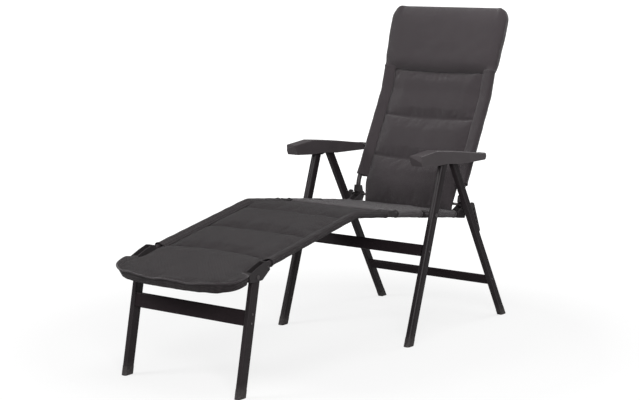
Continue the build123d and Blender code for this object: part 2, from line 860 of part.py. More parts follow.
# The fabric: each panel is drawn between sections square to its frame, with its sleeves round the tubes


def pad_section(point, lean, half, near, far, crown):
    """One section of a pad: near is the face that is sat on, far the face behind or below."""
    middle = (near + far) / 2
    with BuildSketch(across(point, lean)) as section:
        with BuildLine():
            ThreePointArc((-half, near), (0, near - crown), (half, near))
            ThreePointArc((half, near), (half + panel_edge, middle), (half, far))
            ThreePointArc((half, far), (0, far + crown / 2), (-half, far))
            ThreePointArc((-half, far), (-half - panel_edge, middle), (-half, near))
        make_face()
    add(section.sketch)


def seam_rows(shares, start, end):
    """Each seam's run along the panel, then its two faces and their crown."""
    return [
        [start + share * (end - start), *(face * panel_thick for face in faces)]
        for share, *faces in shares
    ]


def channels(line, rows, puff_shares, half, turned=0):
    """A panel in straight facets: rows are its seams, and between them its faces puff out."""
    for low, high in zip(rows, rows[1:]):
        for i in range(channel_steps + (high == rows[-1])):
            share = i / channel_steps
            row = [a + share * (b - a) for a, b in zip(low, high)]
            puff = sin(radians(180 * share)) * panel_thick
            point, lean = along(line, row[0])
            faces = [face + puff * extra for face, extra in zip(row[1:], puff_shares)]
            pad_section(point, lean + turned, half, *faces)
    loft(ruled=True)


def box_cut(points, start, end):
    """Cuts a side-view outline through both sides of a pad, between two distances from the middle."""
    plate(points, start, end, Mode.SUBTRACT)
    plate(points, -end, -start, Mode.SUBTRACT)


def both_sides(made):
    add(made.part)
    add(mirror(made.part, about=Plane.YZ))


seat_pad_start = 10.8
seat_pad_short = 2.4
seat_shares = [(0.0, -0.5, 0.4, 0.15), (1.0, -0.45, 0.4, 0.15)]
seat_puff_shares = (-0.25, 0.2, 0.4)
seat_sleeve_start = 31.0
seat_sleeve_short = 46.4
wrap_half = 198.0
wrap_wall = 3.0
saddle_clear = 1.0
seat_line = [seat_front, seat_rear]
seat_rows = seam_rows(seat_shares, seat_pad_start, seat_run - seat_pad_short)


def by_seat_front(run, above):
    return by_seat(run - seat_run, above)


def seat_sleeve(start, end):
    """A sleeve round the +X seat tube, between two runs behind the front tube."""
    with BuildPart() as made:
        bar(by_seat_front(start, 0), seat_lean, sleeve_radius, end - start, frame_x)
        bar(by_seat_front(start, 0), seat_lean, tube_radius + cloth_gap, end - start, frame_x, Mode.SUBTRACT)
    return made


with BuildPart() as seat_pad:
    channels(seat_line, seat_rows, seat_puff_shares, panel_half)
    clevis_front = seat_run - clevis_length - saddle_clear
    clevis_room = [
        by_seat_front(clevis_front, -overrun), by_seat_front(clevis_front + overrun, -overrun),
        by_seat_front(clevis_front + overrun, overrun), by_seat_front(clevis_front, overrun),
    ]
    box_cut(clevis_room, frame_x - ear_outer - saddle_clear, frame_x + overrun)
    corner_room = [
        by_seat_front(0, -overrun), by_seat_front(seat_sleeve_start, -overrun),
        by_seat_front(seat_sleeve_start, overrun), by_seat_front(0, overrun),
    ]
    box_cut(corner_room, frame_x - corner_inner - saddle_clear, frame_x + overrun)
    saddle_start = seat_front_reach - saddle_length / 2 - saddle_clear
    saddle_end = seat_front_reach + saddle_length / 2 + saddle_clear
    saddle_room = [
        by_seat_front(saddle_start, -overrun), by_seat_front(saddle_end, -overrun),
        by_seat_front(saddle_end, overrun), by_seat_front(saddle_start, overrun),
    ]
    saddle_inner = frame_x - saddle_width / 2 - pin_head_thick - saddle_clear
    box_cut(saddle_room, saddle_inner, frame_x + overrun)
    both_sides(seat_sleeve(seat_sleeve_start, saddle_start))
    both_sides(seat_sleeve(saddle_end, seat_run - seat_sleeve_short))
    disc(seat_front, tube_radius + wrap_wall, -wrap_half, wrap_half)
    disc(seat_front, tube_radius + cloth_gap, -wrap_half, wrap_half, Mode.SUBTRACT)
    clip_room = tube_radius + clip_wall + saddle_clear
    disc(seat_front, clip_room, clip_x - saddle_clear, frame_x, Mode.SUBTRACT)
    disc(seat_front, clip_room, -frame_x, saddle_clear - clip_x, Mode.SUBTRACT)
write(seat_pad, "seat_pad")

back_pad_start = -24.0
back_pad_end = 525.0
back_narrow_run = 54.0
back_sleeve_start = 66.0
back_shares = [
    (0.0, -0.25, 0.35, 0.1), (0.337, 0.7, 1.8, 0.2), (0.6575, 0.8, 1.9, 0.2), (1.0, 0.5, 1.7, 0.2),
]
back_puff_shares = (-0.9, 0.4, 0.3)
back_rows = seam_rows(back_shares, back_pad_start, back_pad_end)

with BuildPart() as back_pad:
    channels(back_line, back_rows, back_puff_shares, panel_half)
    clevis_room = [
        step(step(back_end, hip_lean, run), hip_lean + 90, behind)
        for run, behind in (
            (-overrun, -overrun), (back_narrow_run, -overrun),
            (back_narrow_run, overrun), (-overrun, overrun),
        )
    ]
    box_cut(clevis_room, frame_x - ear_outer - saddle_clear, frame_x + overrun)
    sleeve_line = [
        along(back_line, back_sleeve_start)[0], back_lumbar, along(back_line, back_pad_end)[0],
    ]
    both_sides(
        bent_tube(sleeve_line, sleeve_radius, tube_radius + cloth_gap, back_bend_radius, frame_x)
    )
    pin_room = pin_radius + pin_head_proud + 2 * cloth_gap
    disc(p_arm, pin_room, frame_x - sleeve_radius - pin_head_thick, 2 * frame_x, Mode.SUBTRACT)
    disc(p_arm, pin_room, -2 * frame_x, -frame_x + sleeve_radius + pin_head_thick, Mode.SUBTRACT)
write(back_pad, "back_pad")

# Each row: share of the pillow's run, half width as a share, then the two faces as shares
pillow_half = 266.0
pillow_thick = 56.0
pillow_run = 262.0
pillow_crown = 3.0
pillow_gap = 1.0
pillow_shares = [
    (0.0, 0.94, -0.24, 0.46), (0.12, 0.98, -0.32, 0.62), (0.4, 1.0, -0.33, 0.68),
    (0.7, 0.985, -0.32, 0.68), (0.9, 0.91, -0.26, 0.58), (1.0, 0.79, -0.02, 0.3),
]

with BuildPart() as head_pillow:
    pillow_start = back_pad_end + pillow_gap
    for share, width, near, far in pillow_shares:
        pad_section(
            *along(back_line, pillow_start + share * pillow_run),
            width * pillow_half, near * pillow_thick, far * pillow_thick, pillow_crown,
        )
    loft()
    with BuildSketch(across(back_end, hip_lean, frame_x)):
        Circle(tube_radius + cloth_gap)
    sweep(path=back_route.line, mode=Mode.SUBTRACT)
write(head_pillow, "head_pillow")

rest_tongue_start = 21.0
rest_sleeve_start = 34.0
rest_pad_end = 706.0
rest_clip_gap = 2.0
rest_panel_half = 231.0
rest_sleeve_inset = 0.6
rest_shares = [
    (0.0, -0.5, 0.5, 0.2), (0.3408, -0.2, 0.6, 0.15), (0.6443, -0.2, 0.6, 0.15), (1.0, -0.2, 0.6, 0.15),
]
rest_puff_shares = (-0.6, 0.2, 0.3)
rest_rows = seam_rows(rest_shares, rest_sleeve_start, rest_pad_end)

with BuildPart() as tongue:
    for run in (rest_tongue_start, rest_sleeve_start + cloth_gap):
        pad_section(
            along(rest_line, run)[0], rise_lean + 180, clip_x - rest_clip_gap, *rest_rows[0][1:]
        )
    loft(ruled=True)

with BuildPart() as rest_panel:
    channels(rest_line, rest_rows, rest_puff_shares, rest_panel_half, 180)
    add(tongue.part)
    sleeve_line = [
        along(rest_line, rest_sleeve_start + rest_sleeve_inset)[0], rest_bend,
        along(rest_line, rest_pad_end - rest_sleeve_inset)[0],
    ]
    both_sides(
        bent_tube(sleeve_line, rest_sleeve_radius, tube_radius + cloth_gap, rest_bend_radius, rest_x)
    )
write(rest_panel, "rest_panel")

# The padded foot end: each row as for the pillow, with its runs from the panel's end to the tip
foot_pad_half = 266.0
foot_pad_thick = 30.0
foot_pad_start = 498.0
foot_pad_end = 738.0
foot_pad_crown = 3.0
foot_pad_notch = 229.5
foot_pad_shares = [
    (0.0, 0.985, -0.1, 0.4), (0.1, 0.985, -0.2, 0.6), (0.35, 0.99, -0.2, 0.75),
    (0.56, 1.0, -0.2, 0.85), (0.72, 0.98, -0.2, 0.85), (0.86, 0.86, -0.18, 0.83),
    (0.95, 0.64, -0.14, 0.78), (1.0, 0.36, 0.1, 0.6),
]

with BuildPart() as foot_pad:
    for share, width, near, far in foot_pad_shares:
        run = foot_pad_start + share * (foot_pad_end - foot_pad_start)
        pad_section(
            by_rest(run, 0), fall_lean + 180, width * foot_pad_half,
            near * foot_pad_thick, far * foot_pad_thick, foot_pad_crown,
        )
    loft()
    notch_end = bracket_start + bracket_length + face_gap
    notch = [
        by_rest(foot_pad_start - overrun, -overrun), by_rest(notch_end, -overrun),
        by_rest(notch_end, overrun), by_rest(foot_pad_start - overrun, overrun),
    ]
    box_cut(notch, foot_pad_notch, 2 * foot_pad_half)
    with BuildSketch(across(by_rest(bow_start, bow_drop), fall_lean, bow_x)):
        Circle(bow_radius + cloth_gap)
    sweep(path=bow_route.line, mode=Mode.SUBTRACT)
write(foot_pad, "foot_pad")
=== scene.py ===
# %% [markdown]
# A folding camping chair with a leg rest. The imported CAD model gives the frame: every tube, pin and
# moulding is already in its place, in metres, so this lesson only has to light it, finish its surfaces
# and sew the soft parts.

# %% Load the frame
from math import cos, pi, radians, sin, tan

import bmesh
import bpy
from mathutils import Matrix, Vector, noise


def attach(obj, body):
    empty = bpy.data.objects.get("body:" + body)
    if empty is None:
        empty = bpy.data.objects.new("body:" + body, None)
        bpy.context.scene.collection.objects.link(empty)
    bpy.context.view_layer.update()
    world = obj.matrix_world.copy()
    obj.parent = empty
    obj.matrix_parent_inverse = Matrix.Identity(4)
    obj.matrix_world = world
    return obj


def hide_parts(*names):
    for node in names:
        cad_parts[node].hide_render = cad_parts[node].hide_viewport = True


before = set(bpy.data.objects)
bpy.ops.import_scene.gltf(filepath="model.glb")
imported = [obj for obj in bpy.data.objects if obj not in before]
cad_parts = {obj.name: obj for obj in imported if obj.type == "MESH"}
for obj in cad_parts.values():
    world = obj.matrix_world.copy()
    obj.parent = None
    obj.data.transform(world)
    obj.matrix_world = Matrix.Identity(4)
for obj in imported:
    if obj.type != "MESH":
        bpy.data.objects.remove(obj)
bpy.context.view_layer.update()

scene = bpy.context.scene

# %% [markdown]
# The camera stands where the photographer stood: ahead of the chair and on its +X side, a little
# higher than the pillow and far away, so that lines converge only slowly. A long lens of about 90 mm
# on a full-frame sensor gives that calm catalogue view.

# %% The camera
CAMERA_PLACE = (3.440, -4.5653, 1.405)
LENS_LENGTH = 89.69
SENSOR_WIDTH = 36.0
LOOKS_DOWN = radians(8.74)
TURNED = radians(37.13)

camera_data = bpy.data.cameras.new("catalogue_camera")
camera_data.lens = LENS_LENGTH
camera_data.sensor_width = SENSOR_WIDTH
camera = bpy.data.objects.new("catalogue_camera", camera_data)
camera.location = CAMERA_PLACE
camera.rotation_euler = (radians(90) - LOOKS_DOWN, 0, TURNED)
scene.collection.objects.link(camera)
scene.camera = camera
print("camera at", CAMERA_PLACE, "with a lens of", LENS_LENGTH, "mm")

# %% [markdown]
# The studio is a white floor without an edge. A white surface that is lit would turn grey in the
# picture or need lamps that burn out the chair, so part of the floor's white is given only to camera
# rays, and the rest is a real surface that takes the chair's soft shadow. Far from the chair there
# is no shadow to take, so there all of the white is given.

# %% The studio floor
FLOOR_RADIUS = 60.0
FLOOR_SIDES = 96

bm = bmesh.new()
bmesh.ops.create_circle(bm, cap_ends=True, segments=FLOOR_SIDES, radius=FLOOR_RADIUS)
floor_mesh = bpy.data.meshes.new("studio_floor")
bm.to_mesh(floor_mesh)
bm.free()
floor = bpy.data.objects.new("studio_floor", floor_mesh)
scene.collection.objects.link(floor)
print("floor of", FLOOR_RADIUS, "m")


# %% The floor's white
def tree_of(material):
    """The node tree of a material, emptied, and its new output node."""
    material.use_nodes = True
    tree = material.node_tree
    tree.nodes.clear()
    return tree, tree.nodes.new("ShaderNodeOutputMaterial")


FLOOR_COLOUR = (0.5, 0.5, 0.5, 1)
WHITE_STRENGTH = 1.25
# The share of the white that is given near the chair, and the distances over which it grows to all.
SHARE_GIVEN_NEAR = 0.62
SHADOW_REACH = (1.0, 2.6)

floor_paint = bpy.data.materials.new("studio_white")
floor_tree, floor_output = tree_of(floor_paint)
shaded_white = floor_tree.nodes.new("ShaderNodeBsdfDiffuse")
shaded_white.inputs["Color"].default_value = FLOOR_COLOUR
given_white = floor_tree.nodes.new("ShaderNodeEmission")
given_white.inputs["Strength"].default_value = WHITE_STRENGTH
floor_rays = floor_tree.nodes.new("ShaderNodeLightPath")
floor_place = floor_tree.nodes.new("ShaderNodeTexCoord")
from_chair = floor_tree.nodes.new("ShaderNodeVectorMath")
from_chair.operation = "LENGTH"
floor_tree.links.new(floor_place.outputs["Object"], from_chair.inputs[0])
given = floor_tree.nodes.new("ShaderNodeMapRange")
given.inputs["From Min"].default_value, given.inputs["From Max"].default_value = SHADOW_REACH
given.inputs["To Min"].default_value = SHARE_GIVEN_NEAR
floor_tree.links.new(from_chair.outputs["Value"], given.inputs["Value"])
seen = floor_tree.nodes.new("ShaderNodeMath")
seen.operation = "MULTIPLY"
floor_tree.links.new(given.outputs[0], seen.inputs[1])
floor_tree.links.new(floor_rays.outputs["Is Camera Ray"], seen.inputs[0])
floor_mix = floor_tree.nodes.new("ShaderNodeMixShader")
floor_tree.links.new(seen.outputs[0], floor_mix.inputs[0])
floor_tree.links.new(shaded_white.outputs[0], floor_mix.inputs[1])
floor_tree.links.new(given_white.outputs[0], floor_mix.inputs[2])
floor_tree.links.new(floor_mix.outputs[0], floor_output.inputs["Surface"])
floor.data.materials.append(floor_paint)
print("white is given from", SHARE_GIVEN_NEAR, "to 1 over", SHADOW_REACH, "m")

# %% [markdown]
# The light is soft and comes from the left of the picture and from the camera's side, which gives
# the pale line down the rounded front legs. Little comes from above, so the seat and the leg rest
# stay as dark as the back. A small lamp close to the pillow lights mostly its top, and a dim one
# behind shows the rear in other views. The world fills the shadows, and only camera and
# transmission rays see it as plain white.

# %% The lamps
def softbox(name, place, target, size, power):
    """A square area lamp that points at a target: its side in metres, its power in watts."""
    data = bpy.data.lights.new(name, "AREA")
    data.size = size
    data.energy = power
    lamp = bpy.data.objects.new(name, data)
    lamp.location = place
    lamp.rotation_euler = (Vector(target) - Vector(place)).to_track_quat("-Z", "Y").to_euler()
    scene.collection.objects.link(lamp)
    print(name, "of", power, "W")


softbox("key_softbox", (-2.4, -3.0, 3.0), (0, 0.1, 0.6), 1.5, 88)
softbox("top_softbox", (0.9, -0.5, 4.0), (0, 0.3, 0.7), 1.6, 36)
softbox("front_softbox", (2.9, -3.2, 2.3), (0, 0.2, 0.7), 1.6, 120)
softbox("pillow_softbox", (0.35, 0.60, 1.78), (0.08, 0.84, 1.20), 0.5, 3.6)
softbox("back_softbox", (1.4, 3.8, 2.4), (0, 0.4, 0.7), 2.0, 48)

# %% The world
WORLD_FILL = 0.38

world = bpy.data.worlds.new("studio_world")
scene.world = world
world.use_nodes = True
sky = world.node_tree
sky.nodes.clear()
sky_out = sky.nodes.new("ShaderNodeOutputWorld")
fill = sky.nodes.new("ShaderNodeBackground")
fill.inputs["Strength"].default_value = WORLD_FILL
white = sky.nodes.new("ShaderNodeBackground")
sky_rays = sky.nodes.new("ShaderNodeLightPath")
seen_direct = sky.nodes.new("ShaderNodeMath")
seen_direct.operation = "MAXIMUM"
sky.links.new(sky_rays.outputs["Is Camera Ray"], seen_direct.inputs[0])
sky.links.new(sky_rays.outputs["Is Transmission Ray"], seen_direct.inputs[1])
sky_mix = sky.nodes.new("ShaderNodeMixShader")
sky.links.new(seen_direct.outputs[0], sky_mix.inputs[0])
sky.links.new(fill.outputs[0], sky_mix.inputs[1])
sky.links.new(white.outputs[0], sky_mix.inputs[2])
sky.links.new(sky_mix.outputs[0], sky_out.inputs["Surface"])
scene.view_settings.view_transform = "Standard"
print("the world fills with", WORLD_FILL)

# %% [markdown]
# Three surface effects return on many parts, so each is a node group that is built once: a plain
# weave for the cloth, a fine grain for moulded plastic and powder coat, and the pale rub that the
# feet pick up near the floor. A group puts out only heights, tones and masks. The shader stays in
# the material, where its plain values are.

# %% Node helpers
def new_group(name, inputs, outputs):
    """An empty shader node group with named sockets, and its input and output nodes."""
    group = bpy.data.node_groups.new(name, "ShaderNodeTree")
    for label, kind, value in inputs:
        socket = group.interface.new_socket(label, in_out="INPUT", socket_type=kind)
        if value is not None:
            socket.default_value = value
    for label in outputs:
        group.interface.new_socket(label, in_out="OUTPUT", socket_type="NodeSocketFloat")
    return group, group.nodes.new("NodeGroupInput"), group.nodes.new("NodeGroupOutput")


def maths(tree, operation, *values):
    """A maths node fed by sockets or plain numbers, and its output."""
    node = tree.nodes.new("ShaderNodeMath")
    node.operation = operation
    for socket, value in zip(node.inputs, values):
        if isinstance(value, (int, float)):
            socket.default_value = value
        else:
            tree.links.new(value, socket)
    return node.outputs[0]


def speckle(tree, place, scale, detail=2.0):
    """A noise texture at a place, with a scale that is a socket or a number."""
    node = tree.nodes.new("ShaderNodeTexNoise")
    node.inputs["Detail"].default_value = detail
    tree.links.new(place, node.inputs["Vector"])
    if isinstance(scale, (int, float)):
        node.inputs["Scale"].default_value = scale
    else:
        tree.links.new(scale, node.inputs["Scale"])
    return node.outputs["Fac"]


# %% [markdown]
# The cloth is a plain weave of thick yarn: in every second crossing the yarn along the panel is on
# top, and in the others the yarn across it. The product of two sine waves has just these crossings.
# Its size makes the small round bumps, and its sign says which yarn is on top. That is painted into the
# colour: a painted highlight where one yarn is on top, and painted shade where the other is.

# %% Group: woven yarn
YARN_ROUNDNESS = 0.6
FIBRES_PER_METRE = 900.0
FIBRE_HEIGHT = 0.5
CROSSING_PAINTED_LIGHT = 0.35
FIBRE_TONE = 0.7
CLOUDS_PER_METRE = 7.0
MIDDLE_TONE = 0.5

weave, group_in, group_out = new_group(
    "Woven yarn",
    [("Place", "NodeSocketVector", None), ("Pitch", "NodeSocketFloat", 0.002)],
    ["Height", "Tone and painted light", "Cloud"],
)
split = weave.nodes.new("ShaderNodeSeparateXYZ")
weave.links.new(group_in.outputs["Place"], split.inputs[0])
across_yarn = maths(weave, "DIVIDE", split.outputs["X"], group_in.outputs["Pitch"])
along_yarn = maths(weave, "DIVIDE", split.outputs["Y"], group_in.outputs["Pitch"])
wave_across = maths(weave, "SINE", maths(weave, "MULTIPLY", across_yarn, pi))
wave_along = maths(weave, "SINE", maths(weave, "MULTIPLY", along_yarn, pi))
crossing = maths(weave, "MULTIPLY", wave_across, wave_along)
bump_size = maths(weave, "POWER", maths(weave, "ABSOLUTE", crossing), YARN_ROUNDNESS)
fibres = speckle(weave, group_in.outputs["Place"], FIBRES_PER_METRE)
height = maths(weave, "ADD", bump_size, maths(weave, "MULTIPLY", fibres, FIBRE_HEIGHT))
weave.links.new(height, group_out.inputs["Height"])
# The sign of the crossing is painted light: the tone rises where one yarn is on top and falls where the
# other is.
on_top_painted_light = maths(weave, "MULTIPLY_ADD", crossing, CROSSING_PAINTED_LIGHT, MIDDLE_TONE)
fibre_offset = maths(weave, "SUBTRACT", fibres, MIDDLE_TONE)
tone = maths(weave, "MULTIPLY_ADD", fibre_offset, FIBRE_TONE, on_top_painted_light)
weave.links.new(tone, group_out.inputs["Tone and painted light"])
cloud = speckle(weave, group_in.outputs["Place"], CLOUDS_PER_METRE, detail=4.0)
weave.links.new(cloud, group_out.inputs["Cloud"])
print("group", weave.name, "with", len(weave.nodes), "nodes")

# %% Group: fine grain
PATCHES_PER_METRE = 14.0

grain, group_in, group_out = new_group(
    "Fine grain",
    [("Place", "NodeSocketVector", None), ("Grains per metre", "NodeSocketFloat", 900.0)],
    ["Height", "Patch"],
)
fine = speckle(grain, group_in.outputs["Place"], group_in.outputs["Grains per metre"], detail=3.0)
grain.links.new(fine, group_out.inputs["Height"])
patch = speckle(grain, group_in.outputs["Place"], PATCHES_PER_METRE, detail=5.0)
grain.links.new(patch, group_out.inputs["Patch"])
print("group", grain.name, "with", len(grain.nodes), "nodes")

# %% Group: rubbed feet
RUB_TOP = 0.05
SCUFFS_PER_METRE = 120.0

rub, group_in, group_out = new_group(
    "Rubbed feet",
    [("Place", "NodeSocketVector", None), ("Top of the rub", "NodeSocketFloat", RUB_TOP)],
    ["Mask"],
)
split = rub.nodes.new("ShaderNodeSeparateXYZ")
rub.links.new(group_in.outputs["Place"], split.inputs[0])
height_share = maths(rub, "DIVIDE", split.outputs["Z"], group_in.outputs["Top of the rub"])
low = maths(rub, "MAXIMUM", maths(rub, "SUBTRACT", 1.0, height_share), 0.0)
scuff = speckle(rub, group_in.outputs["Place"], SCUFFS_PER_METRE, detail=6.0)
worn = maths(rub, "MULTIPLY", low, maths(rub, "POWER", scuff, 2.0))
rub.links.new(worn, group_out.inputs["Mask"])
print("group", rub.name, "with", len(rub.nodes), "nodes")

# %% [markdown]
# Every finish is a Principled shader with its plain values on its own sockets. Only what changes over
# the surface comes from the groups: the colour between a dark and a light tone, the roughness and the
# bump. Colours are given as the 0 to 255 values that a paint card would list, made linear here, but the
# legs' and the crossbars' coats are darker copies of the tubes' coat, and that darkness is painted
# shade.

# %% Colour helpers
def linear(red, green, blue):
    """An sRGB colour of 0 to 255 values as a linear colour."""
    shares = [value / 255 for value in (red, green, blue)]
    return (*[s / 12.92 if s <= 0.04045 else ((s + 0.055) / 1.055) ** 2.4 for s in shares], 1)


def place_group(tree, group, place, **values):
    """A node group in a material, fed with a place and its own values."""
    node = tree.nodes.new("ShaderNodeGroup")
    node.node_tree = group
    tree.links.new(place, node.inputs["Place"])
    for label, value in values.items():
        node.inputs[label.replace("_", " ")].default_value = value
    return node.outputs


def blend_colours(tree, factor, first, second):
    """A colour that goes from the first to the second with a factor. Each is a value or a socket."""
    node = tree.nodes.new("ShaderNodeMix")
    node.data_type = "RGBA"
    for label, value in (("Factor", factor), ("A", first), ("B", second)):
        if isinstance(value, (float, tuple)):
            node.inputs[label].default_value = value
        else:
            tree.links.new(value, node.inputs[label])
    return node.outputs["Result"]


def between(tree, factor, low, high):
    """A value that goes from low to high as the factor goes from 0 to 1."""
    return maths(tree, "MULTIPLY_ADD", factor, high - low, low)


def bumped(tree, shader, height, depth):
    """A bump of that depth, in metres, on a shader's normal."""
    node = tree.nodes.new("ShaderNodeBump")
    node.inputs["Strength"].default_value = 1.0
    node.inputs["Distance"].default_value = depth
    tree.links.new(height, node.inputs["Height"])
    tree.links.new(node.outputs["Normal"], shader.inputs["Normal"])


# %% Material helpers
def shaded(name):
    """A new material with a Principled shader: the material, its tree and the shader."""
    material = bpy.data.materials.new(name)
    tree, output = tree_of(material)
    shader = tree.nodes.new("ShaderNodeBsdfPrincipled")
    tree.links.new(shader.outputs[0], output.inputs["Surface"])
    return material, tree, shader


def coordinates(tree, kind):
    """The Object or UV coordinates."""
    return tree.nodes.new("ShaderNodeTexCoord").outputs[kind]


# %% Cloth
FADED_SHARE = 0.35
CLOTH_ROUGHNESS = (0.78, 0.92)
CLOTH_SPECULAR = 0.22
SHEEN_ROUGHNESS = 0.4
# The depth of the weave as a share of its pitch, which is one yarn's width.
YARN_DEPTH_SHARE = 0.3


def cloth(name, dark, light, pitch, sheen=0.22):
    """A woven cloth, for a piece with a UV map in metres."""
    material, tree, shader = shaded(name)
    yarn = place_group(tree, weave, coordinates(tree, "UV"), Pitch=pitch)
    # The woven tone carries the weave's painted highlight and shade as well as the fibres' own tone.
    woven_tone_and_painted_light = blend_colours(tree, yarn["Tone and painted light"], dark, light)
    faded = blend_colours(tree, yarn["Cloud"], dark, light)
    both = blend_colours(tree, FADED_SHARE, woven_tone_and_painted_light, faded)
    tree.links.new(both, shader.inputs["Base Color"])
    tree.links.new(between(tree, yarn["Cloud"], *CLOTH_ROUGHNESS), shader.inputs["Roughness"])
    shader.inputs["Sheen Weight"].default_value = sheen
    shader.inputs["Sheen Roughness"].default_value = SHEEN_ROUGHNESS
    shader.inputs["Specular IOR Level"].default_value = CLOTH_SPECULAR
    bumped(tree, shader, yarn["Height"], pitch * YARN_DEPTH_SHARE)
    return material


back_cloth = cloth("anthracite_cloth", linear(37, 32, 34), linear(72, 66, 69), pitch=0.0026)
rest_cloth = cloth("leg_rest_cloth", linear(14, 11, 13), linear(58, 52, 54), pitch=0.0066, sheen=0.08)
edge_cloth = cloth("binding_cloth", linear(38, 33, 35), linear(64, 58, 61), pitch=0.0012, sheen=0.25)
print("cloths:", back_cloth.name, rest_cloth.name, edge_cloth.name)

# %% Coat, plastic, rubber and steel
SCUFFED = linear(104, 99, 98)
# How much smoother and rougher than its own roughness a finish is in patches.
SMOOTHER = 0.05
ROUGHER = 0.08


def coated(name, dark, light, roughness, grains, depth, metallic=0.0, specular=0.3):
    """A finish with so many grains in a metre, so deep, and with a pale rub near the floor."""
    material, tree, shader = shaded(name)
    place = coordinates(tree, "Object")
    fine_grain = place_group(tree, grain, place, Grains_per_metre=grains)
    worn = place_group(tree, rub, place, Top_of_the_rub=RUB_TOP)
    plain = blend_colours(tree, fine_grain["Patch"], dark, light)
    scuffed = blend_colours(tree, worn["Mask"], plain, SCUFFED)
    tree.links.new(scuffed, shader.inputs["Base Color"])
    uneven = between(tree, fine_grain["Patch"], roughness - SMOOTHER, roughness + ROUGHER)
    tree.links.new(uneven, shader.inputs["Roughness"])
    shader.inputs["Metallic"].default_value = metallic
    shader.inputs["Specular IOR Level"].default_value = specular
    bumped(tree, shader, fine_grain["Height"], depth)
    return material


POWDER_GRAIN = {"grains": 700.0, "depth": 0.00004}
MOULD_GRAIN = {"grains": 1500.0, "depth": 0.00008}
RUBBER_GRAIN = {"grains": 1100.0, "depth": 0.0001}
STEEL_GRAIN = {"grains": 2500.0, "depth": 0.00002}

# The tubes, legs and crossbars share one powder coat. The legs' copy is darker as painted shade, and
# the crossbars' copy, low under the seat, is darker still as painted shade.
tube_coat = coated("satin_tube_coat", linear(52, 48, 50), linear(62, 57, 59),
                   roughness=0.36, **POWDER_GRAIN)
leg_painted_shade_coat = coated("satin_leg_painted_shade", linear(33, 29, 31), linear(43, 38, 40),
                  roughness=0.4, specular=0.2, **POWDER_GRAIN)
bar_painted_shade_coat = coated("crossbar_painted_shade", linear(31, 25, 27), linear(38, 31, 34),
                  roughness=0.5, specular=0.1, **POWDER_GRAIN)
moulded = coated("moulded_plastic", linear(62, 57, 59), linear(75, 70, 72),
                 roughness=0.46, **MOULD_GRAIN)
fittings = coated("fitting_plastic", linear(38, 35, 36), linear(50, 46, 48),
                  roughness=0.5, **MOULD_GRAIN)
cap_rubber = coated("foot_rubber", linear(34, 31, 32), linear(46, 42, 43),
                    roughness=0.62, **RUBBER_GRAIN)
pin_steel = coated("dark_steel", linear(82, 78, 79), linear(108, 104, 105),
                   roughness=0.34, metallic=0.85, **STEEL_GRAIN)
print("coats:", tube_coat.name, leg_painted_shade_coat.name, bar_painted_shade_coat.name)

# %% [markdown]
# The nodes of the CAD model stay as they are wherever their shape is right, which holds for all metal
# and plastic. Each gets its finish through the material slots of its object, so that its mesh is
# not touched.

# %% Dress the frame
# The legs and crossbars get the darker copies of the powder coat, which are painted shade.
finish_of = [
    (("front_leg", "rear_leg", "rest_leg"), leg_painted_shade_coat),
    (("seat_side_tube", "seat_front_tube", "back_frame", "rest_tube", "rest_bow_tube"), tube_coat),
    (("front_crossbar", "rear_crossbar", "rest_crossbar"), bar_painted_shade_coat),
    (("armrest",), moulded),
    (("foot_cap",), cap_rubber),
    (("seat_corner", "seat_clevis", "seat_saddle", "back_knuckle", "rest_clip", "rest_bracket",
      "notched_guide", "leg_hinge_block", "bushes"), fittings),
    (("rivets", "pins", "axle"), pin_steel),
]
for node_name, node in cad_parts.items():
    chosen = moulded
    for words, material in finish_of:
        if any(word in node_name for word in words):
            chosen = material
    for slot_of_node in node.material_slots:
        slot_of_node.link = "OBJECT"
        slot_of_node.material = chosen
print("dressed", len(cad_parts), "nodes in", len(finish_of), "finishes")

# %% [markdown]
# Seen from the side, each cloth follows a bent tube. A route is that tube's line: its corners as
# (y, z) and its bend radii. Near a corner the line is a short curve between the two points where the
# bend starts and ends. A point of cloth is then named by its distance from the middle of the chair,
# its run along the route, and how far it stands out towards the sitter.

# %% Routes along the tubes
class Route:
    """A bent line in the side view. side is 1 with the sitter to its left, and -1 to its right."""

    def __init__(self, corners, bends, side):
        self.corners = [Vector(corner) for corner in corners]
        self.side = side
        self.runs = [0.0]
        for low, high in zip(self.corners, self.corners[1:]):
            self.runs.append(self.runs[-1] + (high - low).length)
        self.cuts = [0.0]
        for i, bend in enumerate(bends, 1):
            before = self.corners[i] - self.corners[i - 1]
            after = self.corners[i + 1] - self.corners[i]
            self.cuts.append(bend * tan(before.angle(after) / 2))
        self.cuts.append(0.0)

    def point(self, run):
        """The point at a run, and the direction of the line there."""
        last = len(self.corners) - 2
        piece = min([i for i in range(last + 1) if run <= self.runs[i + 1]] + [last])
        low, high = self.corners[piece], self.corners[piece + 1]
        ahead = (high - low).normalized()
        plain = low + ahead * (run - self.runs[piece])
        for i in (piece, piece + 1):
            cut = self.cuts[i]
            if cut and abs(run - self.runs[i]) < cut:
                before = (self.corners[i] - self.corners[i - 1]).normalized()
                after = (self.corners[i + 1] - self.corners[i]).normalized()
                share = (run - self.runs[i] + cut) / (2 * cut)
                start, end = self.corners[i] - before * cut, self.corners[i] + after * cut
                plain = start.lerp(self.corners[i], share).lerp(self.corners[i].lerp(end, share), share)
                ahead = before.lerp(after, share).normalized()
        return plain, ahead

    def place(self, x, run, out):
        """A point of the row frame: x from the middle, at a run, out towards the sitter."""
        plain, ahead = self.point(run)
        outward = Vector((-ahead.y, ahead.x)) * self.side
        spot = plain + outward * out
        return Vector((x, spot.x, spot.y))


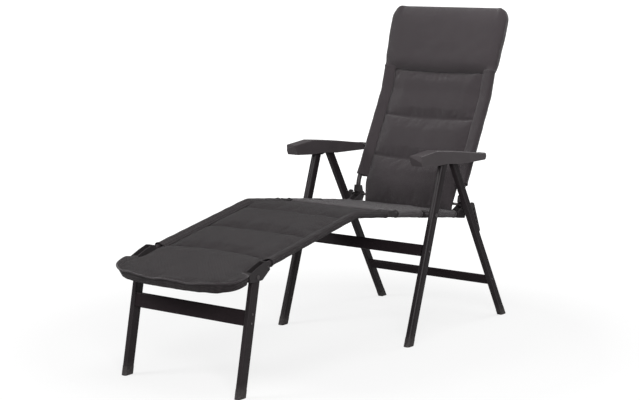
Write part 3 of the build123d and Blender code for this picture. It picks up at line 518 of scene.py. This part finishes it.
back_route = Route(
    [(0.548883, 0.473900), (0.556430, 0.519986), (0.732739, 0.865951), (0.769811, 0.997840),
     (0.828708, 1.171843)],
    bends=[0.095, 0.170, 0.170], side=1,
)
rest_route = Route(
    [(0.074666, 0.489202), (-0.139307, 0.513959), (-0.648246, 0.412263)], bends=[0.090], side=-1
)
seat_route = Route([(0.074666, 0.489202), (0.541042, 0.427802)], bends=[], side=1)
print("back route %.3f m, rest route %.3f m" % (back_route.runs[-1], rest_route.runs[-1]))

# %% [markdown]
# Cloth starts as a flat grid, like cloth on the cutting table, and every point is then carried to its
# place. The place on the flat grid is kept as the UV map, in metres, so the weave has the same size
# on every piece and follows it round the tubes.

# %% Curves and small unevenness
def spread(a, share):
    """Spaces the columns of a grid from -1 to 1 closer at its sides, where the cloth turns."""
    return (1 - share) * a + share * sin(pi / 2 * a)


def in_steps(value, table):
    """Reads a smooth curve through a table of (value, result) rows."""
    if value <= table[0][0]:
        return table[0][1]
    for (low, first), (high, second) in zip(table, table[1:]):
        if value <= high:
            share = (value - low) / (high - low)
            return first + (second - first) * share * share * (3 - 2 * share)
    return table[-1][1]


def wrinkle(across, along, depth, size, seed):
    """A smooth random height, up to the depth, that changes over that size. A seed repeats it."""
    return depth * noise.noise(Vector((across, along, 0)) / size + Vector((seed, 2 * seed, 3 * seed)))


# %% Finished pieces
MERGE = 0.0002
CLOTH_THICKNESS = 0.0012


def finished(bm, name, material, rounded=True):
    """Makes a smooth, linked object of a bmesh, with one level of subdivision if it is rounded."""
    bmesh.ops.recalc_face_normals(bm, faces=bm.faces)
    mesh = bpy.data.meshes.new(name)
    bm.to_mesh(mesh)
    bm.free()
    mesh.shade_smooth()
    mesh.materials.append(material)
    piece = bpy.data.objects.new(name, mesh)
    scene.collection.objects.link(piece)
    if rounded:
        round_off = piece.modifiers.new("Round off", "SUBSURF")
        round_off.levels = round_off.render_levels = 1
    return piece


def thickened(piece):
    """Gives a single layer of cloth its thickness, inwards."""
    wall = piece.modifiers.new("Cloth thickness", "SOLIDIFY")
    wall.thickness = CLOTH_THICKNESS
    wall.offset = -1
    return piece


# %% Tunnels round tubes
COLUMNS_ROUND = 28
HEM_WIDTH = 0.009
PUCKER = 0.0005
# How fast the puckers change along a tunnel, and how often and how far they turn round it.
PUCKER_RATE = 90
PUCKERS_ROUND = 3
PUCKER_TWIST = 5
# How sharply the cloth is drawn out towards its seam, and how flat it gets there.
DRAW_POWER = 1.8
FLATTENED = 0.4


def sleeve(name, route, x, start, end, radius, reach, material, steps, hem=0.0015, lean=0.0):
    """A cloth tunnel round a tube, drawn in to the seam at its reach that joins it to its panel."""
    inward = -1 if x > 0 else 1
    length = end - start

    def place(u, v):
        turn = 2 * pi * u
        towards_seam = max(0.0, cos(turn))
        edge = min(v, 1 - v) * length
        size = radius + hem * max(0.0, 1 - edge / HEM_WIDTH) ** 0.5
        size += PUCKER * sin(v * length * PUCKER_RATE) * sin(PUCKERS_ROUND * turn + v * PUCKER_TWIST)
        sideways = size * cos(turn) + (reach - radius) * towards_seam**DRAW_POWER
        out = size * sin(turn) * (1 - FLATTENED * towards_seam**2)
        run = start + v * length + lean * cos(turn) * (1 - v)
        return route.place(x + inward * sideways, run, out)

    bm = bmesh.new()
    chart = bm.loops.layers.uv.new("UVMap")
    bmesh.ops.create_grid(bm, x_segments=COLUMNS_ROUND, y_segments=steps, size=0.5)
    for face in bm.faces:
        for loop in face.loops:
            spot = loop.vert.co
            loop[chart].uv = ((spot.x + 0.5) * 2 * pi * radius, (spot.y + 0.5) * length)
    for vert in bm.verts:
        vert.co = place(vert.co.x + 0.5, vert.co.y + 0.5)
    bmesh.ops.remove_doubles(bm, verts=bm.verts, dist=MERGE)
    return thickened(finished(bm, name, material, rounded=False))


# %% [markdown]
# A pad is two grids, one on each face, whose edges are bridged. Its seams are rows of the grid that
# are drawn in, and the fields between them bulge. The pad is then blown up a little by a cloth
# simulation with the seams held, which gives the uneven, pulled look of real filling. How far a
# point may move is capped, so the pad keeps the size that it was cut to.

# %% Padded pieces
# The two faces lie this far above and below the middle of the pad's chart, with the wall between.
FACE_DROP = 0.01


def pad(name, grid, place, material, wall_cuts=2):
    """A closed pad of a grid of (columns, rows).

    place(a, b, face), with a and b from -1 to 1 and face 1 or -1, gives a point of a face, and its
    place across and along the flat cloth.
    """
    bm = bmesh.new()
    chart = bm.loops.layers.uv.new("UVMap")
    flat = [bm.verts.layers.float.new(label) for label in ("across", "along", "drop")]
    rims = []
    for face in (1, -1):
        made = bmesh.ops.create_grid(bm, x_segments=grid[0], y_segments=grid[1], size=1.0)["verts"]
        for vert in made:
            spot, vert[flat[0]], vert[flat[1]] = place(vert.co.x, vert.co.y, face)
            vert[flat[2]] = FACE_DROP * face
            vert.co = spot
        grid_edges = {edge for vert in made for edge in vert.link_edges}
        rims += [edge for edge in grid_edges if edge.is_boundary]
    bridge = bmesh.ops.bridge_loops(bm, edges=rims)
    wall_faces = set(bridge["faces"])
    uprights = {e for f in wall_faces for e in f.edges if e not in set(rims)}
    bmesh.ops.subdivide_edges(bm, edges=list(uprights), cuts=wall_cuts, use_grid_fill=True)
    for face in bm.faces:
        for loop in face.loops:
            across, along, drop = (loop.vert[layer] for layer in flat)
            is_wall = any(abs(vert[flat[2]]) < 0.99 * FACE_DROP for vert in face.verts)
            loop[chart].uv = (across + along, drop) if is_wall else (across, along)
    return finished(bm, name, material)


# %% The filling
SETTLE_FRAMES = 18
CLOTH_GROWTH = 0.006
STRETCH_STIFFNESS = 12.0
BEND_STIFFNESS = 0.6


def settle(piece, held, pressure, cap):
    """Blows a pad up in a short cloth simulation. held says which points are sewn down."""
    before = [vert.co.copy() for vert in piece.data.vertices]
    sewn = piece.vertex_groups.new(name="sewn")
    sewn.add([i for i, spot in enumerate(before) if held(spot)], 1.0, "REPLACE")
    round_off = piece.modifiers["Round off"]
    round_off.show_viewport = False
    blow = piece.modifiers.new("Blow up", "CLOTH")
    settings = blow.settings
    settings.quality = 5
    settings.mass = 0.25
    settings.air_damping = 3.0
    settings.tension_stiffness = settings.compression_stiffness = STRETCH_STIFFNESS
    settings.bending_stiffness = BEND_STIFFNESS
    settings.use_pressure = True
    settings.uniform_pressure_force = pressure
    settings.shrink_min = -CLOTH_GROWTH
    settings.vertex_group_mass = "sewn"
    settings.effector_weights.gravity = 0.0
    for step in range(1, SETTLE_FRAMES + 1):
        scene.frame_set(step)
    shown = piece.evaluated_get(bpy.context.evaluated_depsgraph_get()).data
    furthest = 0.0
    for vert, start, after in zip(piece.data.vertices, before, [v.co.copy() for v in shown.vertices]):
        move = after - start
        furthest = max(furthest, move.length)
        vert.co = start + move * min(1.0, cap / max(move.length, MERGE))
    piece.modifiers.remove(blow)
    piece.vertex_groups.clear()
    round_off.show_viewport = True
    scene.frame_set(1)
    print(piece.name, "wanted to move %.1f mm at most, capped at %.1f" % (1000 * furthest, 1000 * cap))


# %% The points that are sewn
# The seams are found again by their rows in the grid, so each pad has its own test.
ROUNDING = 4


def near_rows(place, seams_b, grid):
    """A test for the points of a pad that lie on its edges or on the rows of its seams."""
    cols, rows = grid
    held = set()
    for face in (1, -1):
        for i in range(cols + 1):
            for j in range(rows + 1):
                a, b = 2 * i / cols - 1, 2 * j / rows - 1
                on_seam = any(abs(b - seam) < 1 / rows for seam in seams_b)
                if i in (0, cols) or j in (0, rows) or on_seam:
                    held.add(tuple(round(c, ROUNDING) for c in place(a, b, face)[0]))
    return lambda spot: tuple(round(c, ROUNDING) for c in spot) in held


# %% [markdown]
# The back is a panel of three padded fields between two tunnels. Its seams hang down a little in the
# middle, where the weight of the filling draws them. The panel lies behind the tubes' front, so the
# tunnels stand proud on both sides, and under the tunnels it narrows and leaves the tubes bare.

# %% Fields between seams
FIELDS = 3
SEAM_DEPTH = 0.003
SEAM_STEEPNESS = 24
# A higher power keeps a field full nearer to its sides.
SIDE_POWER = 7


def field_of(share, seams, sags):
    """The run of a row, its seam's sag, and how far it is into its field, for a share from 0 to 1."""
    index = min(int(share * FIELDS), FIELDS - 1)
    inside = share * FIELDS - index
    run = seams[index] + (seams[index + 1] - seams[index]) * inside
    sag = sags[index] + (sags[index + 1] - sags[index]) * inside
    return run, sag, inside


def stitched(inside):
    """1 on a seam, and 0 from a little way into the field."""
    return max(0.0, 1 - SEAM_STEEPNESS * min(inside, 1 - inside))


def puffed(a, inside, roundness):
    """How full a field is at a point: 0 on its seams and sides, and 1 in its middle."""
    return max(0.0, sin(pi * inside)) ** roundness * (1 - abs(a) ** SIDE_POWER)


# %% The padded back panel
TUBE_X = 0.243
BACK_GRID = (72, 96)
BACK_SEAMS = [-0.0385, 0.161, 0.337, 0.527]
BACK_SAG = [0.0, 0.009, 0.009, 0.007]
BACK_HALF = 0.214
BACK_PUFF_FRONT = 0.0105
BACK_PUFF_REAR = 0.006
BACK_ROUNDNESS = 0.36
PANEL_SPREAD = 0.35


def back_place(a, b, face):
    """A point of the back panel: its place, its x and its run."""
    run, sag, inside = field_of((b + 1) / 2, BACK_SEAMS, BACK_SAG)
    half = in_steps(run, [(-0.03, 0.203), (0.05, 0.211), (0.08, BACK_HALF), (0.6, BACK_HALF)])
    puff = puffed(a, inside, BACK_ROUNDNESS)
    x = spread(a, PANEL_SPREAD) * half
    run -= sag * (1 - a * a)
    crease = wrinkle(x, run * 0.45, depth=0.0016, size=0.05, seed=3) * (1 - 0.5 * puff)
    if face > 0:
        base = in_steps(run, [(-0.03, 0.002), (0.08, -0.006), (0.6, -0.007)])
        out = base + BACK_PUFF_FRONT * puff - SEAM_DEPTH * stitched(inside) + crease
    else:
        base = in_steps(run, [(-0.03, -0.004), (0.08, -0.013), (0.6, -0.015)])
        out = base - BACK_PUFF_REAR * puff + crease
    return back_route.place(x, run, out), x, run


back_panel = pad("back_panel_cushion", BACK_GRID, back_place, back_cloth)
print("back seams at", BACK_SEAMS)

# %% The tunnels along the back
back_sleeves = [
    sleeve("back_sleeve_" + side, back_route, x, start=0.066, end=0.536, radius=0.0140, reach=0.038,
           material=back_cloth, steps=90, lean=-0.004)
    for side, x in (("left", -TUBE_X), ("right", TUBE_X))
]
print(len(back_sleeves), "tunnels along the back")

# %% [markdown]
# The pillow is one soft bag pulled over the top of the frame. It widens a little towards the top,
# and its two corners are round. At its lower edge it is sewn to the back panel in the middle, and
# beside that seam it closes round the two tunnels like a cuff.

# %% The head pillow
PILLOW_GRID = (70, 46)
PILLOW_START = BACK_SEAMS[-1]
PILLOW_END = 0.789
PILLOW_CORNER = 0.052
PILLOW_SPREAD = 0.28
PILLOW_SAG = 0.008
ROW_POWER = 1.4
# The cuff is drawn in next to the tubes, and the filling rises behind the seam over this length.
CUFF_RADIUS = 0.016
CUFF_PULL = 0.004
PULL_LENGTH = 0.05
RISE_LENGTH = 0.055
TOP_LENGTH = 0.080
TOP_POWER = 2.2


def pillow_place(a, b, face):
    """A point of the pillow. Its rows lie closer towards the top, which rounds over."""
    share = 1 - (1 - (b + 1) / 2) ** ROW_POWER
    run = PILLOW_START + (PILLOW_END - PILLOW_START) * share
    half = in_steps(run, [(PILLOW_START, 0.259), (0.60, 0.2625), (0.68, 0.2675), (0.75, 0.268)])
    into_corner = min(1.0, max(0.0, run - (PILLOW_END - PILLOW_CORNER)) / PILLOW_CORNER)
    half -= PILLOW_CORNER * (1 - (1 - into_corner**2) ** 0.5)
    x = spread(a, PILLOW_SPREAD) * half
    cuff = in_steps(abs(x), [(0.215, 0.0), (0.236, 1.0)])
    from_seam = run - PILLOW_START
    rise = 1 - (1 - min(1.0, from_seam / RISE_LENGTH)) ** 3
    top = max(0.0, run - (PILLOW_END - TOP_LENGTH)) / TOP_LENGTH
    round_over = (1 - min(1.0, top) ** TOP_POWER) ** 0.5
    edge = (1 - abs(a) ** 6) ** 0.5
    run -= PILLOW_SAG * (1 - a * a) * (1 - share) ** 2
    pull = CUFF_PULL * cuff * (1 - abs(2 * min(1.0, from_seam / PULL_LENGTH) - 1))
    crease = wrinkle(x, run * 1.6, depth=0.0016, size=0.055, seed=7) * (1 - 0.7 * share) * edge
    outside = max(0.0, abs(x) - TUBE_X) / CUFF_RADIUS
    around = CUFF_RADIUS * (1 - min(1.0, outside) ** 2) ** 0.5
    if face > 0:
        low = -0.004 * (1 - cuff) + around * cuff
        high = 0.002 + 0.0155 * edge
        out = low + (high - low) * rise * round_over - pull + crease
        out -= 0.008 * (1 - round_over)
    else:
        low = -0.013 * (1 - cuff) - around * cuff
        high = -0.016 - 0.020 * edge
        out = low + (high - low) * rise * round_over + crease
        out += 0.001 * (1 - round_over)
    return back_route.place(x, run, out), x, run


pillow = pad("head_pillow_cushion", PILLOW_GRID, pillow_place, back_cloth, wall_cuts=4)
print("pillow from %.3f to %.3f m along the back" % (PILLOW_START, PILLOW_END))

# %% [markdown]
# The seat is stretched between its side tubes, and its front edge is wrapped round the front tube
# between the leg rest's clips. It is thin, so it shows no sewn fields, only a shallow hollow.

# %% The seat
SEAT_GRID = (64, 60)
SEAT_START = 0.0108
SEAT_END = 0.468
SEAT_HALF = 0.2265
SEAT_TOP = 0.0098
SEAT_UNDER = 0.0035
SEAT_HOLLOW = 0.0045
UNDER_HOLLOW = 0.003
# The seat is narrower up to this run, between the front corners, and beside the clevises.
CORNER_END = 0.034
CORNER_CUT = 0.0285
CLEVIS_START = 0.425
CLEVIS_LENGTH = 0.043
CLEVIS_CUT = 0.004
# Its top rises a little over the front tube and towards the clevises.
EDGE_RISE = 0.0015
FRONT_EDGE = 0.03


def seat_place(a, b, face):
    """A point of the seat: its place, its x and its run."""
    share = (b + 1) / 2
    run = SEAT_START + (SEAT_END - SEAT_START) * share
    in_front = max(0.0, CORNER_END - run) / CORNER_END
    by_clevis = max(0.0, run - CLEVIS_START) / CLEVIS_LENGTH
    half = SEAT_HALF - CORNER_CUT * min(1.0, in_front * 1.6) - CLEVIS_CUT * min(1.0, by_clevis * 3)
    x = spread(a, PANEL_SPREAD) * half
    hollow = (1 - a * a) * (1 - (2 * share - 1) ** 4)
    crease = wrinkle(x, run, depth=0.0008, size=0.07, seed=11)
    front_edge = max(0.0, 1 - run / FRONT_EDGE)
    if face > 0:
        out = SEAT_TOP - SEAT_HOLLOW * hollow + crease + EDGE_RISE * front_edge + EDGE_RISE * by_clevis
    else:
        out = -SEAT_UNDER - UNDER_HOLLOW * hollow + crease
    return seat_route.place(x, run, out), x, run


seat_panel = pad("seat_cushion", SEAT_GRID, seat_place, back_cloth)

# Each side tube's tunnel is in two lengths, with the pivot on the front leg between them.
seat_sleeves = [
    sleeve(f"seat_sleeve_{part}_{side}", seat_route, x, start, end, radius=0.0130, reach=0.024,
           material=back_cloth, steps=36)
    for side, x in (("left", -TUBE_X), ("right", TUBE_X))
    for part, start, end in (("front", 0.031, 0.1895), ("rear", 0.2265, 0.424))
]
print(len(seat_sleeves), "tunnels along the seat")

# %% The wrap round the front tube
WRAP_HALF = 0.198
WRAP_RADIUS = 0.0119
WRAP_ROWS = 90
WRAP_HEM = 0.0012
WRAP_HEM_WIDTH = 0.008
front_line = seat_route.corners[0]

bm = bmesh.new()
chart = bm.loops.layers.uv.new("UVMap")
bmesh.ops.create_grid(bm, x_segments=COLUMNS_ROUND, y_segments=WRAP_ROWS, size=0.5)
for face in bm.faces:
    for loop in face.loops:
        spot = loop.vert.co
        loop[chart].uv = ((spot.y + 0.5) * 2 * WRAP_HALF, (spot.x + 0.5) * 2 * pi * WRAP_RADIUS)
for vert in bm.verts:
    turn, x = 2 * pi * (vert.co.x + 0.5), 2 * WRAP_HALF * vert.co.y
    hem = WRAP_HEM * max(0.0, 1 - (WRAP_HALF - abs(x)) / WRAP_HEM_WIDTH) ** 0.5
    size = WRAP_RADIUS + hem + wrinkle(x, turn * 0.02, depth=PUCKER, size=0.03, seed=5)
    vert.co = (x, front_line.x + size * cos(turn), front_line.y + size * sin(turn))
bmesh.ops.remove_doubles(bm, verts=bm.verts, dist=MERGE)
front_wrap = thickened(finished(bm, "seat_front_wrap", back_cloth, rounded=False))
print("front wrap %.3f m wide" % (2 * WRAP_HALF))

# %% [markdown]
# The leg rest has the same make as the back: three fields between two tunnels. Its seams curve
# towards the seat in the middle, more so near the foot end. A short tongue leads it between the
# two clips to the seat's front tube.

# %% The leg rest panel
REST_TUBE_X = 0.245
REST_GRID = (72, 102)
REST_SEAMS = [0.0165, 0.263, 0.467, 0.694]
REST_SAG = [0.0, 0.008, 0.014, 0.030]
REST_HALF = 0.2165
TONGUE_HALF = 0.2
REST_TOP = -0.0015
REST_UNDER = -0.0055
REST_PUFF_TOP = 0.0085
REST_PUFF_UNDER = 0.003
REST_ROUNDNESS = 0.34


def rest_place(a, b, face):
    """A point of the leg rest's panel: its place, its x and its run."""
    run, sag, inside = field_of((b + 1) / 2, REST_SEAMS, REST_SAG)
    half = in_steps(run, [(0.018, 0.197), (0.03, TONGUE_HALF), (0.038, TONGUE_HALF),
                          (0.05, REST_HALF), (0.8, REST_HALF)])
    x = spread(a, PANEL_SPREAD) * half
    run -= sag * (1 - a * a)
    puff = puffed(a, inside, REST_ROUNDNESS)
    crease = wrinkle(x, run * 0.5, depth=0.0013, size=0.05, seed=13)
    if face > 0:
        out = REST_TOP + REST_PUFF_TOP * puff - SEAM_DEPTH * stitched(inside) + crease
    else:
        out = REST_UNDER - REST_PUFF_UNDER * puff + crease
    return rest_route.place(x, run, out), x, run


rest_panel = pad("leg_rest_cushion", REST_GRID, rest_place, rest_cloth)
rest_sleeves = [
    sleeve("leg_rest_sleeve_" + side, rest_route, x, start=0.034, end=0.703, radius=0.0128,
           reach=0.034, material=rest_cloth, steps=110, hem=0.002)
    for side, x in (("left", -REST_TUBE_X), ("right", REST_TUBE_X))
]
print("leg rest seams at", REST_SEAMS)

# %% [markdown]
# The foot end is a deeper cushion round the bow tube. It is cut from a top and a band that are joined
# by piping. The piping is sewn with a little slack, so it runs in slow waves round the front.

# %% The foot cushion's outline
FOOT_GRID = (72, 64)
FOOT_SPREAD = 0.25
# The leg rest bends at this run, and the foot cushion's own runs are counted from it.
BEND_RUN = rest_route.runs[1]
FOOT_START = REST_SEAMS[-1] - BEND_RUN
FOOT_MIDDLE = 0.622
FOOT_END = 0.737
FOOT_HALF = 0.266
# Half the width between the two foot end brackets.
FOOT_NOTCH = 0.2275
BAND_DEPTH = 0.027
# 2 would make the front an ellipse, and more makes it squarer.
SQUARENESS = 3


def foot_plan(a, b):
    """The place of a foot cushion's point in plan: its x, and its run from the bend."""
    sideways = spread(a, FOOT_SPREAD)
    if b <= 0:
        run = FOOT_MIDDLE + b * (FOOT_MIDDLE - FOOT_START)
        half = in_steps(run, [(0.0, FOOT_NOTCH), (0.604, FOOT_NOTCH), (FOOT_MIDDLE, FOOT_HALF)])
        return sideways * half, run - REST_SAG[-1] * (1 - a * a) * b * b
    x, y = sideways * (1 - b * b / 2) ** 0.5, b * (1 - sideways * sideways / 2) ** 0.5
    far = max(1e-9, (x * x + y * y) ** 0.5)
    swell = 1 / ((abs(x) / far) ** SQUARENESS + (abs(y) / far) ** SQUARENESS) ** (1 / SQUARENESS)
    return x * swell * FOOT_HALF, FOOT_MIDDLE + y * swell * (FOOT_END - FOOT_MIDDLE)


# %% The waves of the piped edge
SLOW_WAVE = (0.0026, 39, 0.6)
QUICK_WAVE = (0.0009, 83, 2.1)


def edge_wave(x, run):
    """How far the piped edge lies above or below its even line: two waves of (height, rate, start)."""
    strength = in_steps(run, [(0.60, 0.0), (0.64, 1.0)])
    slow, quick = (height * sin(x * rate + start) for height, rate, start in (SLOW_WAVE, QUICK_WAVE))
    return strength * (slow + quick)


# %% The foot cushion
FOOT_TOP = 0.0015
FOOT_PUFF = 0.0095
FOOT_PUFF_UNDER = 0.003
FOOT_FULLNESS = 5
FRONT_DROOP = 0.004
RIM_RISE = 0.008
# How much the lower face is drawn in at its sides, as a share, and at its front, in metres.
UNDER_SIDE_SHARE = 0.035
UNDER_FRONT = 0.008


def foot_place(a, b, face):
    """A point of the foot cushion. Its top face has a raised rim, and its lower face is smaller."""
    x, run = foot_plan(a, b)
    puff = (1 - abs(a) ** FOOT_FULLNESS) ** 0.6 * (1 - abs(b) ** FOOT_FULLNESS) ** 0.6
    droop = FRONT_DROOP * in_steps(run, [(0.60, 0.0), (0.74, 1.0)])
    rim = max(abs(a), abs(b))
    lift = edge_wave(x, run) * in_steps(rim, [(0.75, 0.0), (1.0, 1.0)])
    crease = wrinkle(x, run, depth=0.001, size=0.05, seed=17)
    if face > 0:
        raised = in_steps(run, [(0.58, 0.0), (0.64, 1.0)]) * in_steps(rim, [(0.82, 0.0), (1.0, 1.0)])
        out = FOOT_TOP + FOOT_PUFF * puff - droop + lift + RIM_RISE * raised + crease
    else:
        x *= 1 - UNDER_SIDE_SHARE * rim**4
        run -= UNDER_FRONT * max(0.0, b) * rim**4
        depth = in_steps(run, [(0.50, 0.010), (0.62, BAND_DEPTH), (0.8, BAND_DEPTH)])
        out = FOOT_TOP - depth - droop * 0.4 - FOOT_PUFF_UNDER * puff + crease
    return rest_route.place(x, BEND_RUN + run, out), x, BEND_RUN + run


foot_cushion = pad("foot_cushion", FOOT_GRID, foot_place, rest_cloth, wall_cuts=5)
print("foot cushion %.3f m wide" % (2 * FOOT_HALF))

# %% The piping round the foot cushion
PIPING_RADIUS = 0.0032
SIDE_POINTS = 25
SIDE_STEP = 0.045
SIDE_ENDS = (-0.12, 0.96)
FRONT_POINTS = 51
FRONT_STEP = 0.04

# The walk goes along one side of the cushion's rim, across its front and back along the other side.
rim_walk = [(-1.0, SIDE_ENDS[0] + SIDE_STEP * i) for i in range(SIDE_POINTS)]
rim_walk += [(-1.0 + FRONT_STEP * i, 1.0) for i in range(FRONT_POINTS)]
rim_walk += [(1.0, SIDE_ENDS[1] - SIDE_STEP * i) for i in range(SIDE_POINTS)]
piping_line = [foot_place(a, b, 1)[0] for a, b in rim_walk]

piping_curve = bpy.data.curves.new("foot_piping", "CURVE")
piping_curve.dimensions = "3D"
piping_curve.bevel_depth = PIPING_RADIUS
piping_curve.bevel_resolution = 3
piping_curve.use_fill_caps = True
spline = piping_curve.splines.new("POLY")
spline.points.add(len(piping_line) - 1)
for point, spot in zip(spline.points, piping_line):
    point.co = (*spot, 1)
drawn = bpy.data.objects.new("foot_piping_line", piping_curve)
piping_mesh = bpy.data.meshes.new_from_object(drawn)
bpy.data.objects.remove(drawn)
piping_mesh.shade_smooth()
piping_mesh.materials.clear()
piping_mesh.materials.append(edge_cloth)
piping = bpy.data.objects.new("foot_piping", piping_mesh)
scene.collection.objects.link(piping)
print("piping through", len(piping_line), "points")

# %% [markdown]
# Now the filling. Points on a seam or on an edge are sewn and stay, and the fields between them
# settle under pressure. A thick pad gets more pressure and may move further than a thin one.

# %% Settle the padding
# The seams between three fields, with the rows of a grid counted from -1 to 1.
THIRDS = (-1 / 3, 1 / 3)

settle(back_panel, near_rows(back_place, THIRDS, BACK_GRID), pressure=1.6, cap=0.006)
settle(pillow, near_rows(pillow_place, (), PILLOW_GRID), pressure=3.0, cap=0.010)
settle(seat_panel, near_rows(seat_place, (), SEAT_GRID), pressure=0.8, cap=0.003)
settle(rest_panel, near_rows(rest_place, THIRDS, REST_GRID), pressure=1.2, cap=0.004)
settle(foot_cushion, near_rows(foot_place, (), FOOT_GRID), pressure=1.2, cap=0.005)

# %% [markdown]
# Each cloth piece rides on the body that carries it, and stands for its solid of the CAD model.

# %% Bodies and stand-ins
riders = {
    "back": [back_panel, pillow, *back_sleeves],
    "seat": [seat_panel, front_wrap, *seat_sleeves],
    "leg_rest": [rest_panel, foot_cushion, piping, *rest_sleeves],
}
for body, carried in riders.items():
    for piece in carried:
        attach(piece, body)
        print(piece.name, "rides on", body, "with", len(piece.data.vertices), "points")
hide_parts("back_pad")
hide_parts("head_pillow")
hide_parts("seat_pad")
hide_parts("rest_panel")
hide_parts("foot_pad")
